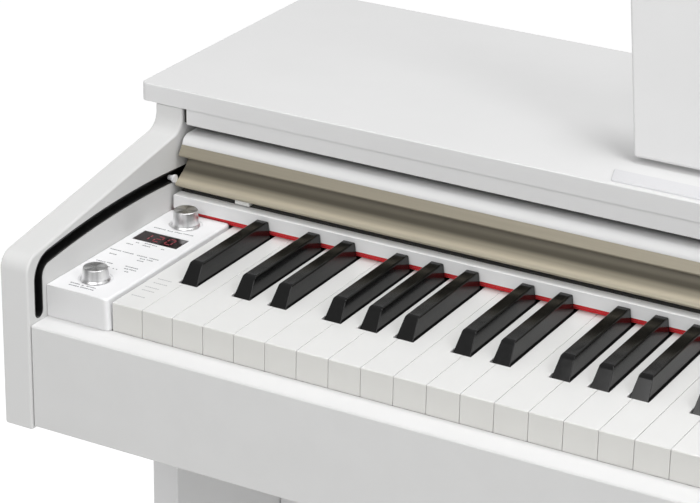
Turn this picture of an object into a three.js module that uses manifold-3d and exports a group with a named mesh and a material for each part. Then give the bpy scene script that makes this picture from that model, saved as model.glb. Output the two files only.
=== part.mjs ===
// Digital piano on a stand: a white cabinet with a full-size keyboard, a sliding key cover in curved
// side tracks, a control block at the bass end, a folding music rest, and a stand with three pedals.
//
// Millimetres, +Z up, +X towards the treble end, +Y towards the wall. The model is drawn in the
// keyboard's own frame: x = 0 at the bass end of the keys, y = 0 at the key fronts, z = 0 at the tops of
// the white keys. The outer group then moves it so that the origin is on the floor, under the centre of
// the whole piano.
import * as THREE from 'three';
import * as BufferGeometryUtils from 'three/addons/utils/BufferGeometryUtils.js';
import Module from 'manifold-3d';

const wasm = await Module();
wasm.setup();

// Keyboard: a standard 88-key compass, 52 white keys to 1225 mm, from A0 to C8.
const WHITE_KEYS = 52;
const KEYBOARD_WIDTH = 1225;
const WHITE_PITCH = KEYBOARD_WIDTH / WHITE_KEYS;
const KEY_TOP_ABOVE_FLOOR = 725;
const KEY_GAP = 1.06;
const WHITE_HEAD_LENGTH = 50;
const WHITE_HEIGHT = 20.5;
const KEY_BACK = 222;
const BLACK_WIDTH = 12.8;
const BLACK_TOP_WIDTH = 9.3;
const BLACK_HEIGHT = 12.2;
const BLACK_FRONT = 51.4;
const BLACK_FRONT_SLOPE = 10.5;
const BLACK_CAP_BACK = 147.8;
const BLACK_STEM_WIDTH = 9;
const BLACK_SIDE_GAP = 1.1;
const BLACK_SIDE_SHIFT = { 2: 2.2, 3: 3.3 };
const HINGED_WHITE_KEYS = 7;
const BANK_BAR_FRONT = 213;
const WHITE_BAR_TOP = -9.5;
const BLACK_BAR_FRONT = 233;
const BANK_BAR_DEPTH = 8;
const BANK_CROSSING_GAP = 2;
const BLACK_STEM_TOP = -1;
const BLACK_CAP_BOTTOM = -2;

// Cabinet.
const FLOOR = -KEY_TOP_ABOVE_FLOOR;
const FIT_GAP = 0.3;
const SIDE_THICKNESS = 22.5;
const SIDE_INNER_X = -50.5;
const SIDE_OUTER_X = SIDE_INNER_X - SIDE_THICKNESS;
const SIDE_FRONT_Y = -24.5;
const SIDE_BACK_Y = 398;
const SIDE_BOTTOM_Z = -98;
const SIDE_FRONT_TOP_Z = 27.04;
const SIDE_SLOPE = 0.1684;
const SIDE_FRONT_RADIUS = 12;
const SIDE_STUB_Y = 167;
const LID_BOTTOM_Z = 75.2;
const LID_TOP_Z = 88.6;
const LID_FRONT_Y = 163.5;
const LID_BACK_Y = 409.4;
const LID_OVERHANG = 12;
const LID_CORNER_RADIUS = 6;
const SUB_RAIL = { x0: -46.7, y0: 164.6, y1: 185, bottom: 63.1 };
const REAR_RAIL = { y0: 148.6, y1: 236, bottom: 5, top: 15, radius: 1.5 };
const FELT = { y0: 149.4, y1: 180, bottom: 0.6, top: 4.7 };
const BACK_PANEL_THICKNESS = 10;
const MIDDLE_X = KEYBOARD_WIDTH / 2;
const DEPTH_CENTRE_Y = (SIDE_FRONT_Y + LID_BACK_Y) / 2;
const INNER_X0 = SIDE_INNER_X + FIT_GAP;
const INNER_X1 = KEYBOARD_WIDTH - INNER_X0;
const RAIL_FRONT_Y = -23;
const RAIL_BACK_Y = -0.5;
const RAIL_TOP_Z = -20.5;
const BED_BOTTOM_Z = -95.5;
const BED_THICKNESS = 15;
const BED_TOP_Z = BED_BOTTOM_Z + BED_THICKNESS;

// Key cover track: a straight drop at the front, a small bend, then a long shallow arch.
const TRACK_FRONT_Y = -12.4;
const TRACK_END_Z = -13.7;
const TRACK_BEND_RADIUS = 14;
const ARCH_RADIUS = 773;
const ARCH_CENTRE = { y: 102, z: -744 };
const ARCH_END_Y = 176;
const TRACK_HALF_WIDTH = 4.6;
const TRACK_WALL = 1;
const TRACK_DEPTH = 9;
const PIN_Y = 151.8;
const PIN_COLLAR_RADIUS = 2.9;
const PIN_RADIUS = 2;
const PIN_CLEARANCE = 0.2;
const PIN_REACH = 4;
const COVER_X0 = -48;
const COVER_X1 = KEYBOARD_WIDTH - COVER_X0;
const COVER_TOP_Z = 56;
const COVER_THICKNESS = 12;
const COVER_FRONT_Y = 160.3;
const COVER_BACK_Y = 385;
const COVER_EDGE_RADIUS = 7;

// Music rest.
const REST_WIDTH = 667.8;
const REST_HEIGHT = 190;
const REST_THICKNESS = 12;
const REST_LEAN = THREE.MathUtils.degToRad(12);
const REST_FLARE = THREE.MathUtils.degToRad(9.7);
const REST_CORNER = 14;
const REST_PIVOT = { y: 212.7, z: 97.6 };
const REST_ROD_RADIUS = 2;
const REST_BORE_RADIUS = REST_ROD_RADIUS + 0.4;
const REST_KNUCKLE_RADIUS = 4.4;
const REST_LEDGE = { y0: 168.1, y1: 187, frontHalf: 333, backHalf: 339.1, top: 1.3 };
const REST_NOTCH_WIDTH = 40;
const REST_BRACKET_OFFSET = 220;
const REST_BRACKET = { front: 9, back: 16, thickness: 1.8, lugInset: 4 };

// Control block.
const BLOCK_TOP_Z = 2.5;
const BLOCK_BOTTOM_Z = RAIL_TOP_Z + FIT_GAP;
const BLOCK_FRONT_Y = -3.5;
const BLOCK_BACK_Y = 149.2;
const BLOCK_KEY_GAP = 0.8;
const BLOCK_DRAFT = 1.3;
const BLOCK_WALL = 2.5;
const KNOB_SHAFT_RADIUS = 3;
const KNOB_RECESS_RADIUS = 12;
const KNOB_RECESS_DEPTH = 1;
const VOLUME_KNOB = { x: -28, y: 21.8, height: 8.8 };
const SELECT_KNOB = { x: -26.8, y: 131.8, height: 11.7 };
const WINDOW = { x0: -45.4, x1: -9.2, y0: 91.8, y1: 108.2 };
const KNOB_RADIUS = { base: 10.2, side: 8.9, top: 8.2 };
const BUTTON = { x: KEYBOARD_WIDTH + 26, y: 24, radius: 6, top: 2.4 };
const CONTROL_BOARD = { x0: -46, x1: -8, y0: 4, y1: 144, bottom: -12, top: -10.4 };
const POT_HALF = 6;

// Stand.
const LEG_FRONT_Y = 155;
const LEG_BACK_Y = 396;
const LEG_THICKNESS = 22;
const FOOT_HEIGHT = 40;
const FOOT_WIDTH = 32;
const FOOT_FRONT_Y = 0;
const FOOT_NOSE_RADIUS = 22;
const MODESTY_FRONT_Y = 304.5;
const MODESTY_HEIGHT = 330;
const MODESTY_THICKNESS = 15;
const PEDAL_BOX = { y0: 255, y1: 345, z0: FLOOR + 48, z1: FLOOR + 150, wall: 12 };
const PEDAL_PIVOT = { y: 330, z: FLOOR + 81 };
const PEDAL_SPACING = 75;
const PEDAL_TIP_Y = 165;
const PEDAL_THICKNESS = 8;
const PEDAL_TOE_RADIUS = 15;
const PEDAL_SHANK_HALF = 9;
const PEDAL_SLOT = { half: 16, below: 20, above: 8 };
const PEDAL_COVER_THICKNESS = 4;

// Inside.
const SPEAKER_X = 190;
const SPEAKER = { y: 272, length: 118, width: 54, holeLength: 102, holeWidth: 42 };
const JACK = { x0: 6, x1: 66, y0: 52, y1: 102, height: 24, spacing: 30, radius: 3.9, setBack: 8 };
const CHASSIS = { y0: 14, y1: 238, wall: 6, stopTop: -42, pivotY0: 198, pivotY1: 208, pivotTop: -21.5 };
const INLET = { x: 1120, z: -40, halfWidth: 14, halfHeight: 10, socketHalfWidth: 9, socketHalfHeight: 6 };

const paint = new THREE.MeshStandardMaterial({ color: 0xebebe9, roughness: 0.45, metalness: 0 });
const paintedBack = new THREE.MeshStandardMaterial({ color: 0xd8d8d5, roughness: 0.6, metalness: 0 });
const whiteKey = new THREE.MeshStandardMaterial({ color: 0xf2f1ec, roughness: 0.3, metalness: 0 });
const blackKey = new THREE.MeshStandardMaterial({ color: 0x101010, roughness: 0.25, metalness: 0 });
const blackPlastic = new THREE.MeshStandardMaterial({ color: 0x141414, roughness: 0.5, metalness: 0 });
const whitePlastic = new THREE.MeshStandardMaterial({ color: 0xe9e9ea, roughness: 0.4, metalness: 0 });
const champagne = new THREE.MeshStandardMaterial({ color: 0x9d9684, roughness: 0.35, metalness: 0.9 });
const felt = new THREE.MeshStandardMaterial({ color: 0xb81f24, roughness: 0.95, metalness: 0 });
const aluminium = new THREE.MeshStandardMaterial({ color: 0xc9c9c9, roughness: 0.3, metalness: 1 });
const steel = new THREE.MeshStandardMaterial({ color: 0xb4b4b2, roughness: 0.35, metalness: 1 });
const brass = new THREE.MeshStandardMaterial({ color: 0xc9a55a, roughness: 0.25, metalness: 1 });
const smoked = new THREE.MeshStandardMaterial({ color: 0x1a0d0e, roughness: 0.1, metalness: 0 });
const circuit = new THREE.MeshStandardMaterial({ color: 0x1d4d2c, roughness: 0.6, metalness: 0 });
const speakerCone = new THREE.MeshStandardMaterial({ color: 0x1b1b1c, roughness: 0.8, metalness: 0 });
const rubber = new THREE.MeshStandardMaterial({ color: 0x222222, roughness: 0.9, metalness: 0 });

// Solids ------------------------------------------------------------------------------------------------

function toManifold(mesh) {
  mesh.updateMatrix();
  let geometry = mesh.geometry.clone().applyMatrix4(mesh.matrix);
  geometry.deleteAttribute('normal');
  geometry.deleteAttribute('uv');
  geometry = BufferGeometryUtils.mergeVertices(geometry, 1e-4);
  const vertProperties = Float32Array.from(geometry.attributes.position.array);
  const triVerts = Uint32Array.from(geometry.index.array);
  return new wasm.Manifold(new wasm.Mesh({ numProp: 3, vertProperties, triVerts }));
}

function fromManifold(name, solid, material) {
  const { vertProperties, triVerts } = solid.getMesh();
  const geometry = new THREE.BufferGeometry();
  geometry.setAttribute('position', new THREE.BufferAttribute(Float32Array.from(vertProperties), 3));
  geometry.setIndex(new THREE.BufferAttribute(Uint32Array.from(triVerts), 1));
  geometry.computeVertexNormals();
  return named(name, geometry, material);
}

function named(name, geometry, material) {
  const mesh = new THREE.Mesh(geometry, material);
  mesh.name = name;
  return mesh;
}

function cut(mesh, ...tools) {
  const solid = tools.reduce((rest, tool) => rest.subtract(toManifold(tool)), toManifold(mesh));
  return fromManifold(mesh.name, solid, mesh.material);
}

function join(mesh, ...others) {
  const solid = others.reduce((sum, other) => sum.add(toManifold(other)), toManifold(mesh));
  return fromManifold(mesh.name, solid, mesh.material);
}

// A box between two corners.
function block(name, [x0, x1], [y0, y1], [z0, z1], material) {
  const mesh = named(name, new THREE.BoxGeometry(x1 - x0, y1 - y0, z1 - z0), material);
  mesh.position.set((x0 + x1) / 2, (y0 + y1) / 2, (z0 + z1) / 2);
  return mesh;
}

// An outline drawn in (y, z) and run along x.
function runAlongX(name, outline, x0, x1, material, curveSegments = 6) {
  const geometry = new THREE.ExtrudeGeometry(outline, { depth: x1 - x0, bevelEnabled: false, curveSegments });
  const mesh = named(name, geometry, material);
  mesh.rotation.set(Math.PI / 2, Math.PI / 2, 0);
  mesh.position.x = x0;
  return mesh;
}

// An outline drawn in (x, z) and run along y.
function runAlongY(name, outline, y0, y1, material, curveSegments = 6) {
  const geometry = new THREE.ExtrudeGeometry(outline, { depth: y1 - y0, bevelEnabled: false, curveSegments });
  const mesh = named(name, geometry, material);
  mesh.rotation.x = Math.PI / 2;
  mesh.position.y = y1;
  return mesh;
}

// An outline drawn in (x, y) and run up z.
function runUpZ(name, outline, z0, z1, material, curveSegments = 6) {
  const geometry = new THREE.ExtrudeGeometry(outline, { depth: z1 - z0, bevelEnabled: false, curveSegments });
  const mesh = named(name, geometry, material);
  mesh.position.z = z0;
  return mesh;
}

function rodAlongX(name, y, z, x0, x1, radius, material, sides = 20) {
  const mesh = named(name, new THREE.CylinderGeometry(radius, radius, x1 - x0, sides), material);
  mesh.rotation.z = Math.PI / 2;
  mesh.position.set((x0 + x1) / 2, y, z);
  return mesh;
}

function rodUpZ(name, x, y, z0, z1, radius, material, sides = 24) {
  const mesh = named(name, new THREE.CylinderGeometry(radius, radius, z1 - z0, sides), material);
  mesh.rotation.x = Math.PI / 2;
  mesh.position.set(x, y, (z0 + z1) / 2);
  return mesh;
}

// A turned piece: [radius, z] points from the axis at the bottom to the axis at the top.
function turned(name, x, y, profile, material, sides = 32) {
  const points = profile.map(([radius, z]) => new THREE.Vector2(radius, z));
  const mesh = named(name, new THREE.LatheGeometry(points, sides), material);
  mesh.rotation.x = Math.PI / 2;
  mesh.position.set(x, y, 0);
  return mesh;
}

function polygon(points) {
  return new THREE.Shape(points.map(([a, b]) => new THREE.Vector2(a, b)));
}

// Keys --------------------------------------------------------------------------------------------------

const NOTE_LETTERS = ['A', 'B', 'C', 'D', 'E', 'F', 'G'];
// Letters that have a black key above them, with the black key's group size and its place in the group.
const SHARPS = {
  C: { group: 2, side: -1 },
  D: { group: 2, side: 1 },
  F: { group: 3, side: -1 },
  G: { group: 3, side: 0 },
  A: { group: 3, side: 1 },
};

function letterOf(whiteIndex) {
  return NOTE_LETTERS[whiteIndex % NOTE_LETTERS.length];
}

function octaveOf(whiteIndex) {
  return Math.floor((whiteIndex + 5) / NOTE_LETTERS.length);
}

// Centre of the black key between white keys index and index + 1, or null where there is none.
function blackCentre(index) {
  const sharp = SHARPS[letterOf(index)];
  if (index < 0 || index >= WHITE_KEYS - 1 || !sharp) return null;
  return (index + 1) * WHITE_PITCH + sharp.side * BLACK_SIDE_SHIFT[sharp.group];
}

// Plan outline of a white key's playing part: its corner points from the back left, round the front.
function whiteKeyPoints(index, back) {
  const left = index * WHITE_PITCH + KEY_GAP / 2;
  const right = (index + 1) * WHITE_PITCH - KEY_GAP / 2;
  const clear = BLACK_WIDTH / 2 + BLACK_SIDE_GAP;
  const lower = index > 0 ? blackCentre(index - 1) : null;
  const upper = blackCentre(index);
  const points = [];
  if (lower === null) {
    points.push([left, back]);
  } else {
    points.push([lower + clear, back], [lower + clear, WHITE_HEAD_LENGTH], [left, WHITE_HEAD_LENGTH]);
  }
  points.push([left, 0], [right, 0]);
  if (upper === null) {
    points.push([right, back]);
  } else {
    points.push([right, WHITE_HEAD_LENGTH], [upper - clear, WHITE_HEAD_LENGTH], [upper - clear, back]);
  }
  return points;
}

function whiteKeySolid(index) {
  const name = `key_${letterOf(index)}${octaveOf(index)}`;
  return runUpZ(name, polygon(whiteKeyPoints(index, KEY_BACK)), -WHITE_HEIGHT, 0, whiteKey);
}

// The raised cap: a block narrowed towards its top, with a sloping front.
function blackCap(index) {
  const height = BLACK_HEIGHT - BLACK_CAP_BOTTOM;
  const length = BLACK_CAP_BACK - BLACK_FRONT;
  const geometry = new THREE.BoxGeometry(BLACK_WIDTH, length, height);
  const position = geometry.attributes.position;
  for (let i = 0; i < position.count; i += 1) {
    if (position.getZ(i) > 0) {
      position.setX(i, position.getX(i) * BLACK_TOP_WIDTH / BLACK_WIDTH);
      if (position.getY(i) < 0) position.setY(i, position.getY(i) + BLACK_FRONT_SLOPE);
    }
  }
  const mesh = named('cap', geometry, blackKey);
  const middleZ = (BLACK_HEIGHT + BLACK_CAP_BOTTOM) / 2;
  mesh.position.set(blackCentre(index), (BLACK_FRONT + BLACK_CAP_BACK) / 2, middleZ);
  return mesh;
}

function blackStem(index, name) {
  const centre = blackCentre(index);
  const half = BLACK_STEM_WIDTH / 2;
  const z = [-WHITE_HEIGHT, BLACK_STEM_TOP];
  return block(name, [centre - half, centre + half], [BLACK_FRONT + 3, KEY_BACK], z, blackKey);
}

function blackKeySolid(index) {
  return join(blackStem(index, `key_${letterOf(index)}sharp${octaveOf(index)}`), blackCap(index));
}

// The upper keys: one comb of white keys and one of black keys, each on its own rear bar.
function whiteKeyBank() {
  const points = [];
  for (let index = HINGED_WHITE_KEYS; index < WHITE_KEYS; index += 1) {
    points.push(...whiteKeyPoints(index, BANK_BAR_FRONT));
  }
  const [firstX] = points[0];
  const [lastX] = points[points.length - 1];
  points.push([lastX, KEY_BACK + BANK_BAR_DEPTH], [firstX, KEY_BACK + BANK_BAR_DEPTH]);
  const comb = runUpZ('white_keys_upper', polygon(points), -WHITE_HEIGHT, 0, whiteKey);
  const crossing = block('crossing', [0, KEYBOARD_WIDTH], [BANK_BAR_FRONT, BLACK_BAR_FRONT],
    [WHITE_BAR_TOP, 1], whiteKey);
  return cut(comb, crossing);
}

function blackKeyBank() {
  const caps = [];
  const points = [];
  const half = BLACK_STEM_WIDTH / 2;
  for (let index = HINGED_WHITE_KEYS; index < WHITE_KEYS; index += 1) {
    const centre = blackCentre(index);
    if (centre === null) continue;
    caps.push(blackCap(index));
    points.push([centre - half, BLACK_BAR_FRONT], [centre - half, BLACK_FRONT + 3]);
    points.push([centre + half, BLACK_FRONT + 3], [centre + half, BLACK_BAR_FRONT]);
  }
  const [firstX] = points[0];
  const [lastX] = points[points.length - 1];
  points.push([lastX, BLACK_BAR_FRONT + BANK_BAR_DEPTH], [firstX, BLACK_BAR_FRONT + BANK_BAR_DEPTH]);
  const comb = runUpZ('black_keys_upper', polygon(points), -WHITE_HEIGHT, BLACK_STEM_TOP, blackKey);
  // The white keys' rear bar crosses under this comb's stems.
  const crossing = block('crossing', [0, KEYBOARD_WIDTH], [BANK_BAR_FRONT - 2, BLACK_BAR_FRONT - 1],
    [-WHITE_HEIGHT - 1, WHITE_BAR_TOP + BANK_CROSSING_GAP], blackKey);
  return join(cut(comb, crossing), ...caps);
}

// Cabinet -----------------------------------------------------------------------------------------------

// The side board's outline: upright front, a rounded corner, a gentle slope and a hollow up to the lid.
function sideOutline() {
  const slope = Math.atan(SIDE_SLOPE);
  const tangent = SIDE_FRONT_RADIUS * Math.tan((Math.PI / 2 - slope) / 2);
  const slopeZ = (y) => SIDE_FRONT_TOP_Z + (y - SIDE_FRONT_Y) * SIDE_SLOPE;
  const hollowZ = slopeZ(SIDE_STUB_Y) + tangent;
  const normal = Math.PI / 2 + slope;
  const shape = new THREE.Shape();
  shape.moveTo(SIDE_BACK_Y, SIDE_BOTTOM_Z);
  shape.lineTo(SIDE_BACK_Y, LID_BOTTOM_Z - FIT_GAP);
  shape.lineTo(SIDE_STUB_Y, LID_BOTTOM_Z - FIT_GAP);
  shape.absarc(SIDE_STUB_Y - SIDE_FRONT_RADIUS, hollowZ, SIDE_FRONT_RADIUS, 0, normal - Math.PI, true);
  shape.absarc(SIDE_FRONT_Y + SIDE_FRONT_RADIUS, SIDE_FRONT_TOP_Z - tangent, SIDE_FRONT_RADIUS,
    normal, Math.PI, false);
  shape.lineTo(SIDE_FRONT_Y, SIDE_BOTTOM_Z);
  return shape;
}

// The key cover's track, as a round-ended slot of the given half width.
function trackOutline(half) {
  const bendY = TRACK_FRONT_Y + TRACK_BEND_RADIUS;
  const meet = Math.acos((bendY - ARCH_CENTRE.y) / (ARCH_RADIUS - TRACK_BEND_RADIUS));
  const bendZ = ARCH_CENTRE.z + (ARCH_RADIUS - TRACK_BEND_RADIUS) * Math.sin(meet);
  const end = Math.acos((ARCH_END_Y - ARCH_CENTRE.y) / ARCH_RADIUS);
  const endY = ARCH_CENTRE.y + ARCH_RADIUS * Math.cos(end);
  const endZ = ARCH_CENTRE.z + ARCH_RADIUS * Math.sin(end);
  const shape = new THREE.Shape();
  shape.moveTo(TRACK_FRONT_Y - half, bendZ);
  shape.absarc(bendY, bendZ, TRACK_BEND_RADIUS + half, Math.PI, meet, true);
  shape.absarc(ARCH_CENTRE.y, ARCH_CENTRE.z, ARCH_RADIUS + half, meet, end, true);
  shape.absarc(endY, endZ, half, end, end - Math.PI, true);
  shape.absarc(ARCH_CENTRE.y, ARCH_CENTRE.z, ARCH_RADIUS - half, end, meet, false);
  shape.absarc(bendY, bendZ, TRACK_BEND_RADIUS - half, meet, Math.PI, false);
  shape.absarc(TRACK_FRONT_Y, TRACK_END_Z, half, 0, -Math.PI, true);
  return shape;
}

function mirrored(x) {
  return KEYBOARD_WIDTH - x;
}

// Runs from xa to xb, or from their mirror images on the treble side.
function span(xa, xb, treble) {
  return treble ? [mirrored(xb), mirrored(xa)] : [xa, xb];
}

function sidePanel(name, treble) {
  const [x0, x1] = span(SIDE_OUTER_X, SIDE_INNER_X, treble);
  const [g0, g1] = span(SIDE_INNER_X - TRACK_DEPTH, SIDE_INNER_X + 1, treble);
  const groove = runAlongX('groove', trackOutline(TRACK_HALF_WIDTH + FIT_GAP), g0, g1, paint, 12);
  return cut(runAlongX(name, sideOutline(), x0, x1, paint), groove);
}

function trackLiner(name, treble) {
  const floorX = SIDE_INNER_X - TRACK_DEPTH + FIT_GAP;
  const [x0, x1] = span(floorX, SIDE_INNER_X - 0.1, treble);
  const [c0, c1] = span(floorX + TRACK_WALL, SIDE_INNER_X + 1, treble);
  const channel = runAlongX('channel', trackOutline(TRACK_HALF_WIDTH - TRACK_WALL), c0, c1, blackPlastic, 12);
  return cut(runAlongX(name, trackOutline(TRACK_HALF_WIDTH), x0, x1, blackPlastic, 12), channel);
}

// Plan outline with rounded corners, for the lid.
function roundedPlan(x0, x1, y0, y1, radius) {
  const shape = new THREE.Shape();
  shape.absarc(x0 + radius, y0 + radius, radius, Math.PI, 1.5 * Math.PI, false);
  shape.absarc(x1 - radius, y0 + radius, radius, -Math.PI / 2, 0, false);
  shape.absarc(x1 - radius, y1 - radius, radius, 0, Math.PI / 2, false);
  shape.absarc(x0 + radius, y1 - radius, radius, Math.PI / 2, Math.PI, false);
  return shape;
}

function topPanel() {
  const x0 = SIDE_OUTER_X - LID_OVERHANG;
  const plan = roundedPlan(x0, mirrored(x0), LID_FRONT_Y, LID_BACK_Y, LID_CORNER_RADIUS);
  return runUpZ('top_panel', plan, LID_BOTTOM_Z, LID_TOP_Z, paint, 3);
}

function keyBed() {
  const back = SIDE_BACK_Y - BACK_PANEL_THICKNESS - 2;
  const depth = [RAIL_BACK_Y + FIT_GAP, back];
  const bed = block('key_bed', [INNER_X0, INNER_X1], depth, [BED_BOTTOM_Z, BED_TOP_Z], paintedBack);
  const holes = [SPEAKER_X, mirrored(SPEAKER_X)].map((x) => {
    const oval = speakerOval(x, SPEAKER.holeLength, SPEAKER.holeWidth);
    return runUpZ('hole', oval, BED_BOTTOM_Z - 1, BED_TOP_Z + 1, paint);
  });
  return cut(bed, ...holes);
}

function frontRail() {
  const depth = [RAIL_FRONT_Y, RAIL_BACK_Y];
  return block('front_rail', [INNER_X0, INNER_X1], depth, [BED_BOTTOM_Z, RAIL_TOP_Z], paint);
}

function keyRearRail() {
  const { y0, y1, bottom, top, radius } = REAR_RAIL;
  const shape = new THREE.Shape();
  shape.moveTo(y1, bottom);
  shape.lineTo(y1, top);
  shape.lineTo(y0 + radius, top);
  shape.absarc(y0 + radius, top - radius, radius, Math.PI / 2, Math.PI, false);
  shape.lineTo(y0, bottom);
  return runAlongX('key_rear_rail', shape, COVER_X0, COVER_X1, paint);
}

function cabinetBack() {
  const depth = [SIDE_BACK_Y - BACK_PANEL_THICKNESS, SIDE_BACK_Y];
  const height = [BED_BOTTOM_Z, LID_BOTTOM_Z - FIT_GAP];
  const panel = block('cabinet_back_panel', [INNER_X0, INNER_X1], depth, height, paintedBack);
  const halfWidth = INLET.halfWidth + 1;
  const halfHeight = INLET.halfHeight + 1;
  const window = block('window', [INLET.x - halfWidth, INLET.x + halfWidth], [depth[0] - 1, depth[1] + 1],
    [INLET.z - halfHeight, INLET.z + halfHeight], paint);
  return cut(panel, window);
}

// Key cover ---------------------------------------------------------------------------------------------

function coverPanel() {
  const bottom = COVER_TOP_Z - COVER_THICKNESS;
  const radius = COVER_EDGE_RADIUS;
  const shape = new THREE.Shape();
  shape.moveTo(COVER_BACK_Y, bottom);
  shape.lineTo(COVER_BACK_Y, COVER_TOP_Z);
  shape.lineTo(COVER_FRONT_Y + radius, COVER_TOP_Z);
  shape.absarc(COVER_FRONT_Y + radius, COVER_TOP_Z - radius, radius, Math.PI / 2, Math.PI, false);
  shape.lineTo(COVER_FRONT_Y, bottom);
  return runAlongX('fallboard_panel', shape, COVER_X0, COVER_X1, paint);
}

// The metal edge of the key cover: a square brow over a hollowed finger pull and a round nose.
function coverHandle() {
  const bottom = COVER_TOP_Z - COVER_THICKNESS - FIT_GAP;
  const backY = COVER_FRONT_Y - FIT_GAP;
  const brow = [[174, bottom], [backY, bottom], [backY, 49.6], [155.7, 43.6], [155.6, 42.7], [156.4, 42]];
  const cove = [
    [164.5, 40.6], [166.6, 39.3], [167.4, 37.3], [167.2, 35.4], [166, 33.2], [164.2, 31.2], [161.6, 29.2],
  ];
  const nose = [
    [158, 27], [154.4, 24.9], [151.7, 22.3], [151.2, 21.4], [151.6, 20.6], [152.8, 20.1], [174, 20.1],
  ];
  const shape = polygon([...brow, ...cove, ...nose]);
  return runAlongX('fallboard_handle', shape, COVER_X0, COVER_X1, champagne);
}

// A pin on the end of the cover: a collar outside the side board, then a thinner end in the track.
function coverPin(name, treble) {
  const runRadius = ARCH_RADIUS - (TRACK_HALF_WIDTH - TRACK_WALL - PIN_RADIUS - PIN_CLEARANCE);
  const z = ARCH_CENTRE.z + Math.sqrt(runRadius ** 2 - (PIN_Y - ARCH_CENTRE.y) ** 2);
  const [c0, c1] = span(SIDE_INNER_X + FIT_GAP, COVER_X0 - FIT_GAP, treble);
  const [t0, t1] = span(SIDE_INNER_X - PIN_REACH, SIDE_INNER_X + 1, treble);
  const collar = rodAlongX(name, PIN_Y, z, c0, c1, PIN_COLLAR_RADIUS, whitePlastic);
  return join(collar, rodAlongX('end', PIN_Y, z, t0, t1, PIN_RADIUS, whitePlastic));
}

// Control block and end block ---------------------------------------------------------------------------

// A hollow end block: draft on the key side, open underneath.
function blockShell(name, treble) {
  const wallX = INNER_X0;
  const keyX = -BLOCK_KEY_GAP;
  const flip = (x) => (treble ? mirrored(x) : x);
  const outer = polygon([
    [flip(wallX), BLOCK_BOTTOM_Z], [flip(keyX), BLOCK_BOTTOM_Z],
    [flip(keyX - BLOCK_DRAFT * 0.7), BLOCK_TOP_Z - 1.2], [flip(keyX - BLOCK_DRAFT - 1.2), BLOCK_TOP_Z],
    [flip(wallX), BLOCK_TOP_Z],
  ]);
  const [h0, h1] = span(wallX + BLOCK_WALL, keyX - BLOCK_DRAFT - BLOCK_WALL, treble);
  const hollow = block('hollow', [h0, h1], [BLOCK_FRONT_Y + BLOCK_WALL, BLOCK_BACK_Y - BLOCK_WALL],
    [BLOCK_BOTTOM_Z - 1, BLOCK_TOP_Z - BLOCK_WALL], whitePlastic);
  return cut(runAlongY(name, outer, BLOCK_FRONT_Y, BLOCK_BACK_Y, whitePlastic), hollow);
}

function controlPanel() {
  const tools = [block('window', [WINDOW.x0 - FIT_GAP, WINDOW.x1 + FIT_GAP],
    [WINDOW.y0 - FIT_GAP, WINDOW.y1 + FIT_GAP], [-5, 5], whitePlastic)];
  for (const knob of [VOLUME_KNOB, SELECT_KNOB]) {
    const recessZ = BLOCK_TOP_Z - KNOB_RECESS_DEPTH;
    tools.push(rodUpZ('recess', knob.x, knob.y, recessZ, 5, KNOB_RECESS_RADIUS, whitePlastic));
    tools.push(rodUpZ('hole', knob.x, knob.y, -5, 5, KNOB_SHAFT_RADIUS + 0.5, whitePlastic));
  }
  return cut(blockShell('control_panel', false), ...tools);
}

function displayWindow() {
  const height = [0.3, BLOCK_TOP_Z - 0.1];
  return block('display_window', [WINDOW.x0, WINDOW.x1], [WINDOW.y0, WINDOW.y1], height, smoked);
}

// The board under the control block, with the two rotary controls and the digit display on it.
function controlBoard() {
  const { x0, x1, y0, y1, bottom, top } = CONTROL_BOARD;
  const board = block('control_board', [x0, x1], [y0, y1], [bottom, top], circuit);
  const parts = [block('digits', [WINDOW.x0 + 2, WINDOW.x1 - 2], [WINDOW.y0 + 1, WINDOW.y1 - 1],
    [bottom + 1, -0.2], circuit)];
  for (const knob of [VOLUME_KNOB, SELECT_KNOB]) {
    parts.push(block('pot', [knob.x - POT_HALF, knob.x + POT_HALF], [knob.y - POT_HALF, knob.y + POT_HALF],
      [bottom + 1, -4.3], circuit));
  }
  return join(board, ...parts);
}

function knob(name, place, material) {
  const base = BLOCK_TOP_Z - KNOB_RECESS_DEPTH + FIT_GAP;
  const top = BLOCK_TOP_Z + place.height;
  return turned(name, place.x, place.y, [
    [0, -4], [KNOB_SHAFT_RADIUS, -4], [KNOB_SHAFT_RADIUS, base], [KNOB_RADIUS.base, base],
    [KNOB_RADIUS.base, base + 0.8], [KNOB_RADIUS.side, top - 0.7], [KNOB_RADIUS.top, top], [0, top],
  ], material);
}

function endBlock() {
  const hole = rodUpZ('hole', BUTTON.x, BUTTON.y, -5, 5, BUTTON.radius + 0.5, whitePlastic);
  return cut(blockShell('end_block', true), hole);
}

function powerButton() {
  return turned('power_button', BUTTON.x, BUTTON.y, [
    [0, -6], [BUTTON.radius, -6], [BUTTON.radius, BLOCK_TOP_Z + BUTTON.top - 0.8],
    [BUTTON.radius - 0.8, BLOCK_TOP_Z + BUTTON.top], [0, BLOCK_TOP_Z + BUTTON.top],
  ], whitePlastic, 24);
}

// Music rest --------------------------------------------------------------------------------------------

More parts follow.
